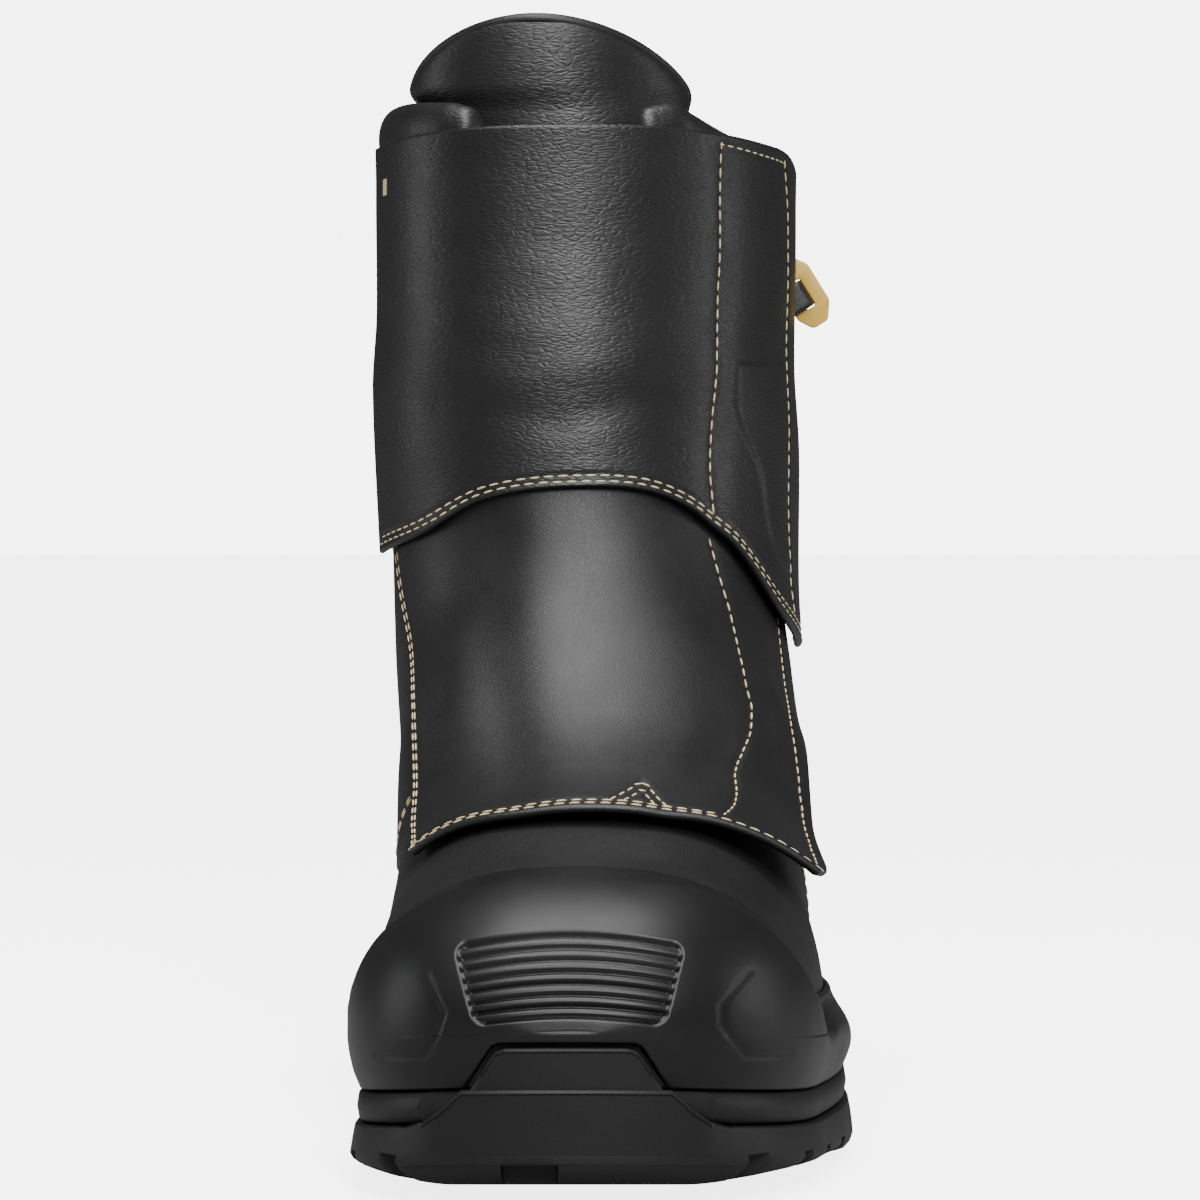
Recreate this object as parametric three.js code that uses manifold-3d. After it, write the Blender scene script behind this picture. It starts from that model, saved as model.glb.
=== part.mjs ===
import * as THREE from 'three';
import { mergeVertices } from 'three/addons/utils/BufferGeometryUtils.js';
import Module from 'manifold-3d';

const wasm = await Module();
wasm.setup();

// A left boot. The toe points to -Y, the outer side of the foot is +X and the floor is z = 0. Millimetres.
const SOLE_LENGTH = 312;
const BALL_WIDTH = 119;
const HEEL_WIDTH = 88;
const TOE_HEIGHT = 77;
const BALL_HEIGHT = 88;
const INSTEP_HEIGHT = 142;
const SHAFT_TOP = 246;
const SHAFT_DEPTH = 139;
const SHAFT_WIDTH = 103;
const WALL = 2.6;
const GAP = 0.3;

// The sole's own heights, above its underside
const TOE_SPRING = 7;
const HEEL_LIFT = 2;
const OUTSOLE_SIDE = 13.5;
const BED_BALL = 21.5;
const BED_HEEL = 30;
const LUG_DEPTH = 6;
const GROOVE_WIDTH = 5.5;
const WAIST_ARCH = 8;

// Roundness of the plan at both ends
const TOE_ROUND = 58;
const HEEL_ROUND = 40;
const PLAN_POWER = 2.35;

const TOE_Y = -SOLE_LENGTH / 2;
const HEEL_Y = SOLE_LENGTH / 2;
const alongY = (share) => TOE_Y + share * SOLE_LENGTH;
const shareOf = (y) => (y - TOE_Y) / SOLE_LENGTH;

// A smooth curve through a table's rows: value(row) against the row's own place
function follow(rows, value) {
  const x = rows.map((row) => row.at);
  const v = rows.map(value);
  const slope = v.map((_, i) => {
    const a = Math.max(0, i - 1);
    const b = Math.min(v.length - 1, i + 1);
    return (v[b] - v[a]) / (x[b] - x[a]);
  });
  return (at) => {
    let i = 0;
    while (i < x.length - 2 && at > x[i + 1]) i += 1;
    const h = x[i + 1] - x[i];
    const t = Math.min(Math.max((at - x[i]) / h, 0), 1);
    const t2 = t * t;
    const t3 = t2 * t;
    return v[i] * (2 * t3 - 3 * t2 + 1) + slope[i] * h * (t3 - 2 * t2 + t)
      + v[i + 1] * (3 * t2 - 2 * t3) + slope[i + 1] * h * (t3 - t2);
  };
}

const mix = (a, b, t) => a + (b - a) * t;
const range = (count) => Array.from({ length: count }, (_, i) => i);

// One closed body from corners and triangles, turned so that its faces point outwards
function body(points, faces) {
  let volume = 0;
  for (const [a, b, c] of faces) {
    volume += points[a].dot(points[b].clone().cross(points[c]));
  }
  const turned = volume < 0 ? faces.map(([a, b, c]) => [a, c, b]) : faces;
  const geometry = new THREE.BufferGeometry();
  geometry.setAttribute('position', new THREE.Float32BufferAttribute(points.flatMap((p) => p.toArray()), 3));
  geometry.setIndex(turned.flat());
  return solid(geometry);
}

function solid(geometry) {
  const bare = geometry.clone();
  bare.deleteAttribute('normal');
  bare.deleteAttribute('uv');
  const merged = mergeVertices(bare, 1e-4);
  const index = Array.from(merged.index.array);
  const kept = [];
  for (let i = 0; i < index.length; i += 3) {
    const [a, b, c] = index.slice(i, i + 3);
    if (a !== b && b !== c && a !== c) kept.push(a, b, c);
  }
  return new wasm.Manifold(new wasm.Mesh({
    numProp: 3,
    vertProperties: new Float32Array(merged.attributes.position.array),
    triVerts: new Uint32Array(kept),
  }));
}

function geometryOf(manifold) {
  const mesh = manifold.getMesh();
  const geometry = new THREE.BufferGeometry();
  geometry.setAttribute('position', new THREE.BufferAttribute(new Float32Array(mesh.vertProperties), 3));
  geometry.setIndex(Array.from(mesh.triVerts));
  return geometry;
}

// A row of closed rings with the same number of corners, closed by a fan at each end
function loft(rings) {
  const n = rings[0].length;
  const points = rings.flat();
  const faces = [];
  for (let r = 0; r < rings.length - 1; r += 1) {
    for (let i = 0; i < n; i += 1) {
      const a = r * n + i;
      const b = r * n + ((i + 1) % n);
      faces.push([a, b, b + n], [a, b + n, a + n]);
    }
  }
  for (const [ring, start, way] of [[rings[0], 0, 1], [rings.at(-1), (rings.length - 1) * n, -1]]) {
    const middle = points.length;
    points.push(ring.reduce((sum, p) => sum.add(p), new THREE.Vector3()).divideScalar(n));
    for (let i = 0; i < n; i += 1) {
      const a = start + i;
      const b = start + ((i + 1) % n);
      faces.push(way > 0 ? [b, a, middle] : [a, b, middle]);
    }
  }
  return body(points, faces);
}

// A sheet of material between two faces: point(across, along, side), with side 1 outside and 0 inside
function sheet(across, along, point) {
  const points = [];
  const faces = [];
  const place = (i, j, side) => (side * (across + 1) + i) * (along + 1) + j;
  for (const side of [0, 1]) {
    for (let i = 0; i <= across; i += 1) {
      for (let j = 0; j <= along; j += 1) {
        points.push(point(i / across, j / along, side));
      }
    }
  }
  const quad = (a, b, c, d) => faces.push([a, b, c], [a, c, d]);
  for (let i = 0; i < across; i += 1) {
    for (let j = 0; j < along; j += 1) {
      quad(place(i, j, 1), place(i + 1, j, 1), place(i + 1, j + 1, 1), place(i, j + 1, 1));
      quad(place(i, j, 0), place(i, j + 1, 0), place(i + 1, j + 1, 0), place(i + 1, j, 0));
    }
    quad(place(i, 0, 0), place(i + 1, 0, 0), place(i + 1, 0, 1), place(i, 0, 1));
    quad(place(i, along, 0), place(i, along, 1), place(i + 1, along, 1), place(i + 1, along, 0));
  }
  for (let j = 0; j < along; j += 1) {
    quad(place(0, j, 0), place(0, j, 1), place(0, j + 1, 1), place(0, j + 1, 0));
    quad(place(across, j, 0), place(across, j + 1, 0), place(across, j + 1, 1), place(across, j, 1));
  }
  return body(points, faces);
}

// A flat outline pushed through the boot sideways: corners are [y, z]
function sideways(corners, reach) {
  const shape = new THREE.Shape(corners.map(([y, z]) => new THREE.Vector2(y, z)));
  const geometry = new THREE.ExtrudeGeometry(shape, { depth: 2 * reach, bevelEnabled: false });
  geometry.applyMatrix4(new THREE.Matrix4().set(0, 0, 1, -reach, 1, 0, 0, 0, 0, 1, 0, 0, 0, 0, 0, 1));
  return solid(geometry);
}

// A flat outline pushed in from the toe: corners are [x, z], from y = from to y = to
function forwards(corners, from, to) {
  const shape = new THREE.Shape(corners.map(([x, z]) => new THREE.Vector2(x, z)));
  const geometry = new THREE.ExtrudeGeometry(shape, { depth: to - from, bevelEnabled: false });
  geometry.rotateX(Math.PI / 2);
  geometry.translate(0, to, 0);
  return solid(geometry);
}

// A flat outline pushed upwards: corners are [x, y]
function upwards(corners, low, high) {
  const shape = new THREE.Shape(corners.map(([x, y]) => new THREE.Vector2(x, y)));
  const geometry = new THREE.ExtrudeGeometry(shape, { depth: high - low, bevelEnabled: false });
  geometry.translate(0, 0, low);
  return solid(geometry);
}

// Plan of the sole: its centre line and half width, as shares of the width that each row follows
const SOLE_PLAN = [
  { at: 0.00, centre: -0.064, half: 0.432, of: BALL_WIDTH },
  { at: 0.10, centre: -0.044, half: 0.451, of: BALL_WIDTH },
  { at: 0.20, centre: -0.019, half: 0.477, of: BALL_WIDTH },
  { at: 0.32, centre: 0.018, half: 0.500, of: BALL_WIDTH },
  { at: 0.42, centre: 0.038, half: 0.485, of: BALL_WIDTH },
  { at: 0.52, centre: 0.040, half: 0.442, of: BALL_WIDTH },
  { at: 0.62, centre: 0.026, half: 0.396, of: BALL_WIDTH },
  { at: 0.72, centre: 0.010, half: 0.503, of: HEEL_WIDTH },
  { at: 0.86, centre: 0.000, half: 0.500, of: HEEL_WIDTH },
  { at: 1.00, centre: 0.000, half: 0.490, of: HEEL_WIDTH },
];
const planCentre = follow(SOLE_PLAN, (row) => row.centre * row.of);
const planRow = follow(SOLE_PLAN, (row) => row.half * row.of);

function roundEnd(depth, radius, power) {
  const left = 1 - Math.min(Math.max(depth / radius, 0), 1);
  return (1 - left ** power) ** (1 / power);
}

function planHalf(y, outset) {
  const toe = roundEnd(y - (TOE_Y - outset), TOE_ROUND + outset, PLAN_POWER);
  const heel = roundEnd(HEEL_Y + outset - y, HEEL_ROUND + outset, PLAN_POWER);
  return (planRow(shareOf(y)) + outset) * toe * heel;
}

// Underside of the sole: it lifts at the toe and a little at the back of the heel
const SPRING_END = 0.27;
const LIFT_START = 0.93;
function underside(y) {
  const toe = Math.max(0, 1 - shareOf(y) / SPRING_END);
  const heel = Math.max(0, (shareOf(y) - LIFT_START) / (1 - LIFT_START));
  return TOE_SPRING * toe * toe + HEEL_LIFT * heel * heel;
}

// Top of the midsole, where the foot and the upper stand
const BED = [
  { at: 0.00, height: 1.00, of: BED_BALL },
  { at: 0.40, height: 1.00, of: BED_BALL },
  { at: 0.55, height: 1.12, of: BED_BALL },
  { at: 0.72, height: 0.95, of: BED_HEEL },
  { at: 0.84, height: 1.00, of: BED_HEEL },
  { at: 1.00, height: 1.00, of: BED_HEEL },
];
const bedRow = follow(BED, (row) => row.height * row.of);
const bed = (y) => bedRow(shareOf(y)) + underside(y);

// Stations from toe to heel, closer together at both round ends
const SOLE_STATIONS = 28;
function stations(outset, count = SOLE_STATIONS) {
  const start = TOE_Y - outset;
  const length = SOLE_LENGTH + 2 * outset;
  return range(count + 1).map((i) => start + (length * (1 - Math.cos((Math.PI * i) / count))) / 2);
}

// One ring round the sole: outer side from toe to heel, then back along the inner side
function ring(outset, height, count) {
  const ys = stations(outset, count);
  const corner = (y, side) => {
    return new THREE.Vector3(planCentre(shareOf(y)) + side * planHalf(y, outset), y, height(y));
  };
  return [...ys.map((y) => corner(y, 1)), ...ys.slice(1, -1).reverse().map((y) => corner(y, -1))];
}

// A solid from rings laid on each other, closed above and below by strips across the foot
function stack(rings) {
  const n = rings[0].length;
  const points = rings.flat();
  const faces = [];
  for (let r = 0; r < rings.length - 1; r += 1) {
    for (let i = 0; i < n; i += 1) {
      const a = r * n + i;
      const b = r * n + ((i + 1) % n);
      faces.push([a, b, b + n], [a, b + n, a + n]);
    }
  }
  for (const [start, low] of [[0, true], [(rings.length - 1) * n, false]]) {
    for (let i = 0; i < n / 2; i += 1) {
      const a = start + i;
      const b = start + i + 1;
      const c = start + ((n - i - 1) % n);
      const d = start + ((n - i) % n);
      for (const face of [[a, b, c], [a, c, d]]) {
        if (new Set(face).size === 3) faces.push(low ? face.slice().reverse() : face);
      }
    }
  }
  return body(points, faces);
}

// Everything under the foot bed, used to cut what stands on it
const CUT_REACH = 40;
const CUT_STATIONS = 24;
function underSurface(height) {
  return stack([
    ring(CUT_REACH, () => -CUT_REACH, CUT_STATIONS),
    ring(CUT_REACH, height, CUT_STATIONS),
  ]);
}
const underBed = underSurface((y) => bed(y) + GAP);

// Sections of the upper. front and rise place the top or front of a section, and back, deep and low its heel
// end. level is the height of its widest place, crown and base the squareness above and below it, ridge
// how far the front leans to the side, and plan how far the width follows the sole.
const UPPER_INSET = 3.6;
const UPPER_LENGTH = SOLE_LENGTH - 2 * UPPER_INSET;
const UPPER_ROWS = [
  { at: 0.00, front: 0.000, rise: 0.93, low: 0.10, over: TOE_HEIGHT, back: 0.000, deep: 0.00, plan: 1,
    centre: -0.062, ridge: 0.000, half: 0.390, wide: BALL_WIDTH, level: 0.42, crown: 2.5, base: 4.0 },
  { at: 0.10, front: 0.076, rise: 0.97, low: 0.10, over: TOE_HEIGHT, back: 0.076, deep: 0.00, plan: 1,
    centre: -0.044, ridge: -0.010, half: 0.405, wide: BALL_WIDTH, level: 0.42, crown: 2.5, base: 4.0 },
  { at: 0.20, front: 0.153, rise: 1.00, low: 0.10, over: TOE_HEIGHT, back: 0.153, deep: 0.00, plan: 1,
    centre: -0.028, ridge: -0.020, half: 0.426, wide: BALL_WIDTH, level: 0.42, crown: 2.45, base: 4.0 },
  { at: 0.30, front: 0.233, rise: 0.955, low: 0.09, over: BALL_HEIGHT, back: 0.240, deep: 0.00, plan: 1,
    centre: -0.004, ridge: -0.045, half: 0.440, wide: BALL_WIDTH, level: 0.40, crown: 2.35, base: 4.0 },
  { at: 0.38, front: 0.305, rise: 1.04, low: 0.09, over: BALL_HEIGHT, back: 0.335, deep: 0.00, plan: 0.6,
    centre: 0.010, ridge: -0.055, half: 0.458, wide: BALL_WIDTH, level: 0.36, crown: 2.3, base: 3.6 },
  { at: 0.46, front: 0.375, rise: 0.735, low: 0.05, over: INSTEP_HEIGHT, back: 0.460, deep: 0.00, plan: 0,
    centre: 0.008, ridge: -0.100, half: 0.441, wide: BALL_WIDTH, level: 0.50, crown: 2.2, base: 2.6 },
  { at: 0.54, front: 0.435, rise: 0.870, low: 0.03, over: INSTEP_HEIGHT, back: 0.640, deep: 0.00, plan: 0,
    centre: -0.002, ridge: -0.115, half: 0.435, wide: BALL_WIDTH, level: 0.62, crown: 2.2, base: 1.8 },
  { at: 0.62, front: 0.474, rise: 1.000, low: 0.03, over: INSTEP_HEIGHT, back: 0.870, deep: 0.00, plan: 0,
    centre: -0.018, ridge: -0.130, half: 0.580, wide: HEEL_WIDTH, level: 0.62, crown: 2.2, base: 1.8 },
  { at: 0.68, front: 0.490, rise: 1.110, low: 0.30, over: INSTEP_HEIGHT, back: 1.000, deep: 0.00, plan: 0,
    centre: -0.035, ridge: -0.150, half: 0.583, wide: HEEL_WIDTH, level: 0.58, crown: 2.2, base: 1.9 },
  { at: 0.76, front: 0.497, rise: 0.735, low: 0.400, over: SHAFT_TOP, back: 0.497, deep: 1.025, plan: 0,
    centre: -0.045, ridge: -0.140, half: 0.490, wide: SHAFT_WIDTH, level: 0.51, crown: 2.2, base: 2.1 },
  { at: 0.84, front: 0.500, rise: 0.835, low: 0.660, over: SHAFT_TOP, back: 0.500, deep: 0.985, plan: 0,
    centre: -0.050, ridge: -0.147, half: 0.498, wide: SHAFT_WIDTH, level: 0.50, crown: 2.2, base: 2.2 },
  { at: 0.92, front: 0.503, rise: 0.925, low: 0.860, over: SHAFT_TOP, back: 0.503, deep: 0.985, plan: 0,
    centre: -0.050, ridge: -0.147, half: 0.505, wide: SHAFT_WIDTH, level: 0.50, crown: 2.2, base: 2.2 },
  { at: 1.00, front: 0.506, rise: 1.000, low: 1.000, over: SHAFT_TOP, back: 0.506, deep: 1.000, plan: 0,
    centre: -0.050, ridge: -0.147, half: 0.505, wide: SHAFT_WIDTH, level: 0.50, crown: 2.2, base: 2.2 },
  { at: 1.20, front: 0.512, rise: 1.200, low: 1.200, over: SHAFT_TOP, back: 0.512, deep: 1.000, plan: 0,
    centre: -0.050, ridge: -0.147, half: 0.505, wide: SHAFT_WIDTH, level: 0.50, crown: 2.2, base: 2.2 },
];
const upperRow = {
  frontY: follow(UPPER_ROWS, (row) => TOE_Y + UPPER_INSET + row.front * UPPER_LENGTH),
  frontZ: follow(UPPER_ROWS, (row) => row.rise * row.over),
  backY: follow(UPPER_ROWS, (row) => TOE_Y + UPPER_INSET + row.back * UPPER_LENGTH + row.deep * SHAFT_DEPTH),
  backZ: follow(UPPER_ROWS, (row) => row.low * row.over),
  plan: follow(UPPER_ROWS, (row) => row.plan),
  centre: follow(UPPER_ROWS, (row) => row.centre * row.wide),
  ridge: follow(UPPER_ROWS, (row) => row.ridge * row.wide),
  half: follow(UPPER_ROWS, (row) => row.half * row.wide),
  level: follow(UPPER_ROWS, (row) => row.level),
  crown: follow(UPPER_ROWS, (row) => row.crown),
  base: follow(UPPER_ROWS, (row) => row.base),
};

// The toe is round: the first sections shrink to a point at the nose
const NOSE_END = 0.2;
const NOSE_HEIGHT = 38;
const CROWN_ROUND = 2.0;
const WALL_ROUND = 5.0;

// Near the foot bed the upper is drawn in to the sole's outline, and higher up it is free of it
const LASTED_LOW = 23;
const LASTED_HIGH = 50;
function drawnIn(x, y, z, side) {
  const limit = planHalf(y, side - UPPER_INSET);
  const centre = planCentre(shareOf(y));
  const over = Math.max(Math.abs(x - centre) - limit, 0);
  const t = Math.min(Math.max((z - bed(y) - LASTED_LOW) / (LASTED_HIGH - LASTED_LOW), 0), 1);
  return x - Math.sign(x - centre) * over * (1 - t * t * (3 - 2 * t));
}

// A point of the upper's form, grown by side across the foot and by top above it.
// turn is 90 degrees at the front, 0 on the outer side, 180 on the inner side and 270 at the back or below.
function upperPoint(at, turn, side, top = side) {
  const lead = -side * Math.max(0, 1 - at / NOSE_END);
  const crownGrow = roundEnd(at, NOSE_END, CROWN_ROUND);
  const wallGrow = roundEnd(at, NOSE_END, WALL_ROUND);
  const frontZ = mix(NOSE_HEIGHT, upperRow.frontZ(at), crownGrow);
  const backZ = mix(NOSE_HEIGHT, upperRow.backZ(at), wallGrow);
  const front = new THREE.Vector2(upperRow.frontY(at) + lead, frontZ);
  const back = new THREE.Vector2(upperRow.backY(at) + lead, backZ);
  const long = Math.max(front.distanceTo(back), 1e-6);
  const way = front.clone().sub(back).divideScalar(long);
  const onPlan = Math.min(Math.max(upperRow.plan(at), 0), 1);
  const half = mix(upperRow.half(at) + side, planHalf(back.x, side - UPPER_INSET), onPlan);
  const level = upperRow.level(at) * long;
  const above = Math.max(long - level + top * crownGrow, 0);
  const below = level + side * (1 - onPlan);
  const c = Math.cos(turn);
  const s = Math.sin(turn);
  const power = s >= 0 ? upperRow.crown(at) : upperRow.base(at);
  const place = level + Math.sign(s) * Math.abs(s) ** (2 / power) * (s >= 0 ? above : below);
  const x = upperRow.centre(at) + upperRow.ridge(at) * (place - level) / long
    + Math.sign(c) * Math.abs(c) ** (2 / power) * half;
  const y = back.x + way.x * place;
  const z = back.y + way.y * place;
  return new THREE.Vector3(drawnIn(x, y, z, side), y, z);
}

const UPPER_TURNS = 28;
const NOSE_STEPS = 6;
const UPPER_STEPS = 17;
const upperPlaces = [
  ...range(NOSE_STEPS).map((i) => NOSE_END * (1 - Math.cos((Math.PI / 2) * (i / NOSE_STEPS)))),
  ...range(UPPER_STEPS + 1).map((i) => mix(NOSE_END, 1, i / UPPER_STEPS)),
];

// The upper's form, grown or shrunk, up to a last section, and reaching past it where it is a cutter
function upperForm(side, over = 0, top = side, last = 1) {
  const rings = upperPlaces.filter((at) => at <= last + 1e-9).map((at) => {
    return range(UPPER_TURNS).map((i) => upperPoint(at, (2 * Math.PI * i) / UPPER_TURNS, side, top));
  });
  const reach = rings.at(-1).map((p) => new THREE.Vector3(p.x, p.y, p.z + over));
  return loft(over > 0 ? [...rings, reach] : rings);
}

// The upper: one shell, open at the collar, along the throat and underneath
const THROAT_HALF = 20;
const THROAT_LOW = 0.43;
const THROAT_TOP = 1.05;
const THROAT_REACH = 12;
const THROAT_STEPS = 10;
const throat = sheet(1, THROAT_STEPS, (across, along, side) => {
  const at = mix(THROAT_LOW, THROAT_TOP, along);
  const p = upperPoint(at, Math.PI / 2, side ? THROAT_REACH : -THROAT_REACH);
  return new THREE.Vector3(p.x + mix(-THROAT_HALF, THROAT_HALF, across), p.y, p.z);
});

// The top line of the shaft dips towards the outer side: at goes across, as a share of the width
const TOP_DIP = [
  { at: 0.20, drop: 0 },
  { at: 0.28, drop: 5 },
  { at: 0.36, drop: 9 },
  { at: 0.46, drop: 12 },
  { at: 0.70, drop: 13 },
];
const DIP_STEPS = 8;
const dipRow = follow(TOP_DIP, (row) => row.drop);
const topDrop = (x) => dipRow(x / SHAFT_WIDTH);
const dipLine = range(DIP_STEPS + 1).map((i) => {
  const x = mix(TOP_DIP[0].at, TOP_DIP.at(-1).at, i / DIP_STEPS) * SHAFT_WIDTH;
  return [x, SHAFT_TOP - topDrop(x)];
});
const overTop = forwards([
  ...dipLine,
  [SHAFT_WIDTH, SHAFT_TOP + SHAFT_WIDTH],
  [dipLine[0][0], SHAFT_TOP + SHAFT_WIDTH],
], -SHAFT_DEPTH, 2 * SHAFT_DEPTH);
const upperOuter = upperForm(0);
const upperInner = upperForm(-WALL, SHAFT_TOP);
const upper = upperOuter.subtract(upperInner).subtract(underBed).subtract(throat).subtract(overTop);
const upperClear = upperForm(GAP, SHAFT_TOP);

// The outsole: a lugged slab with a raised waist, and a lip that climbs the toe
const OUTSOLE_BEVEL = 3;
const OUTSOLE_DRAFT = 1.4;
const OUTSOLE_EDGE = 4;
const treadTop = (y) => underside(y) + OUTSOLE_SIDE;
const outsoleSlab = stack([
  ring(-OUTSOLE_BEVEL, underside),
  ring(0, (y) => underside(y) + OUTSOLE_EDGE),
  ring(-OUTSOLE_DRAFT, treadTop),
]);

// Upper edge of the lip and of its tab: across from the middle, as a share of the ball's width
const TAB_TOP = 31;
const LIP_EDGE = [
  { across: 0.000, height: BED_BALL },
  { across: 0.116, height: BED_BALL },
  { across: 0.201, height: BED_BALL },
  { across: 0.242, height: mix(OUTSOLE_SIDE, BED_BALL, 0.45) },
  { across: 0.275, height: mix(OUTSOLE_SIDE, BED_BALL, 0.12) },
  { across: 0.319, height: OUTSOLE_SIDE },
];
const TAB_EDGE = [
  { across: 0.000, height: TAB_TOP },
  { across: 0.118, height: TAB_TOP },
  { across: 0.135, height: mix(BED_BALL, TAB_TOP, 0.93) },
  { across: 0.147, height: mix(BED_BALL, TAB_TOP, 0.72) },
  { across: 0.190, height: BED_BALL - 1 },
];
// Wall of the lip, and how far it stands out at its upper edge
const LIP_THICK = UPPER_INSET - 3 * GAP;
const LIP_OUT = 0.9;
const TAB_OUT = 0.5;
const LIP_ROOT = 5;
const LIP_REACH = 2;

// Halvings that find a place on a curved form
const HALVINGS = 30;

// Where the sole's front edge lies at a place across the foot
function toeEdge(x, outset) {
  let near = TOE_Y - outset;
  let far = near + TOE_ROUND;
  for (let i = 0; i < HALVINGS; i += 1) {
    const y = (near + far) / 2;
    const reach = Math.abs(x - planCentre(shareOf(y)));
    if (reach > planHalf(y, outset)) near = y;
    else far = y;
  }
  return far;
}

// A wall along the toe under an edge, grown all round where it is a cutter
function toeWall(edge, outer, grow = 0, inner = LIP_THICK + grow) {
  const places = [...edge.slice(1).reverse().map((row) => [-1, row]), ...edge.map((row) => [1, row])];
  const middle = planCentre(0);
  const steps = places.length - 1;
  return sheet(steps, 2, (across, along, side) => {
    const [way, row] = places[Math.round(across * steps)];
    const x = middle + way * (row.across * BALL_WIDTH + (row.across > 0 ? grow : 0));
    const outset = side ? mix(0, outer, along) + (grow > 0 ? LIP_REACH : 0) : -inner;
    const y = toeEdge(x, outset);
    return new THREE.Vector3(x, y, underside(y) + mix(LIP_ROOT, row.height + grow, along));
  });
}
const lip = toeWall(LIP_EDGE, LIP_OUT);
const tab = toeWall(TAB_EDGE, TAB_OUT);
const TAB_CLEAR = 0.7;
const lipRoom = toeWall(LIP_EDGE, LIP_OUT, GAP).add(toeWall(TAB_EDGE, TAB_OUT, TAB_CLEAR));
const guardReach = UPPER_INSET + WALL / 2;
const guardRoom = toeWall(LIP_EDGE, LIP_OUT, GAP, guardReach)
  .add(toeWall(TAB_EDGE, TAB_OUT, TAB_CLEAR, guardReach));

// Grooves between the lugs: chevrons across the foot, and channels along it
const waist = sideways([
  [alongY(0.515), -LUG_DEPTH],
  [alongY(0.535), WAIST_ARCH * 0.7],
  [alongY(0.570), WAIST_ARCH],
  [alongY(0.655), WAIST_ARCH],
  [alongY(0.668), -LUG_DEPTH],
], BALL_WIDTH);
const GROOVE_ROWS = [
  { first: 0.045, pitch: 0.066, count: 7, lead: 15 },
  { first: 0.745, pitch: 0.072, count: 3, lead: -12 },
];
const groovePlaces = GROOVE_ROWS.flatMap(({ first, pitch, count, lead }) => {
  return range(count).map((i) => ({ along: first + i * pitch, lead }));
});
const grooves = groovePlaces.map(({ along, lead }) => {
  const y = alongY(along);
  const middle = planCentre(along);
  const out = BALL_WIDTH;
  const w = GROOVE_WIDTH / 2;
  return upwards([
    [middle - out, y + lead - w],
    [middle, y - w],
    [middle + out, y + lead - w],
    [middle + out, y + lead + w],
    [middle, y + w],
    [middle - out, y + lead + w],
  ], -LUG_DEPTH, underside(y) + LUG_DEPTH);
});
const CHANNELS = [
  { from: 0.09, to: 0.545, out: -0.20 },
  { from: 0.09, to: 0.545, out: 0.20 },
  { from: 0.64, to: 0.90, out: -0.16 },
  { from: 0.64, to: 0.90, out: 0.16 },
];
const CHANNEL_WIDTH = 4.5;
const channels = CHANNELS.map(({ from, to, out }) => sheet(1, 6, (across, along, side) => {
  const share = mix(from, to, along);
  const y = alongY(share);
  const x = planCentre(share) + out * BALL_WIDTH + mix(-CHANNEL_WIDTH, CHANNEL_WIDTH, across) / 2;
  return new THREE.Vector3(x, y, side ? underside(y) + LUG_DEPTH : -LUG_DEPTH);
}));
let outsole = outsoleSlab.add(lip).add(tab).subtract(waist);
for (const cut of [...grooves, ...channels]) {
  outsole = outsole.subtract(cut);
}

// The midsole: the moulded layer between outsole and upper, set back a little from both
const MIDSOLE_INSET = 2.2;
const midsole = stack([
  ring(-MIDSOLE_INSET, (y) => treadTop(y) + GAP),
  ring(-MIDSOLE_INSET + 0.5, (y) => (treadTop(y) + bed(y)) / 2),
  ring(-MIDSOLE_INSET, bed),
]).subtract(lipRoom);

// The toe guard: a moulded rand round the foot that rises over the toe to a crease, with a pocket of ribs
const GUARD_BULGE = 0.6;
const GUARD_TOP = 1.5;
const GUARD_WIDEST = 12.5;
const RAND_ROWS = [
  { height: GAP, outset: -2.4 },
  { height: 5.0, outset: -0.6 },
  { height: GUARD_WIDEST, outset: GUARD_BULGE },
  { height: 17.0, outset: -0.5 },
  { height: 20.5, outset: -2.4 },
  { height: 22.0, outset: -5.5 },
];
const rand = stack(RAND_ROWS.map(({ height, outset }) => ring(outset, (y) => bed(y) + height)));
const CREASE = [
  { along: 0.135, height: 1.600 },
  { along: 0.136, height: 0.940 },
  { along: 0.150, height: 0.830 },
  { along: 0.178, height: 0.690 },
  { along: 0.205, height: 0.570 },
  { along: 0.230, height: 0.490 },
  { along: 0.265, height: 0.440 },
  { along: 0.500, height: 0.440 },
  { along: 0.500, height: 1.600 },
];
const creaseCorners = CREASE.map(({ along, height }) => [alongY(along), height * TOE_HEIGHT]);
const aboveCrease = sideways(creaseCorners, BALL_WIDTH);
const GUARD_END = 0.34;
const underWidest = underSurface((y) => bed(y) + GUARD_WIDEST);
const toeForm = upperForm(UPPER_INSET + GUARD_BULGE, 0, GUARD_TOP, GUARD_END);
const guardForm = toeForm.subtract(aboveCrease).subtract(underWidest).add(rand);

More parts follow.
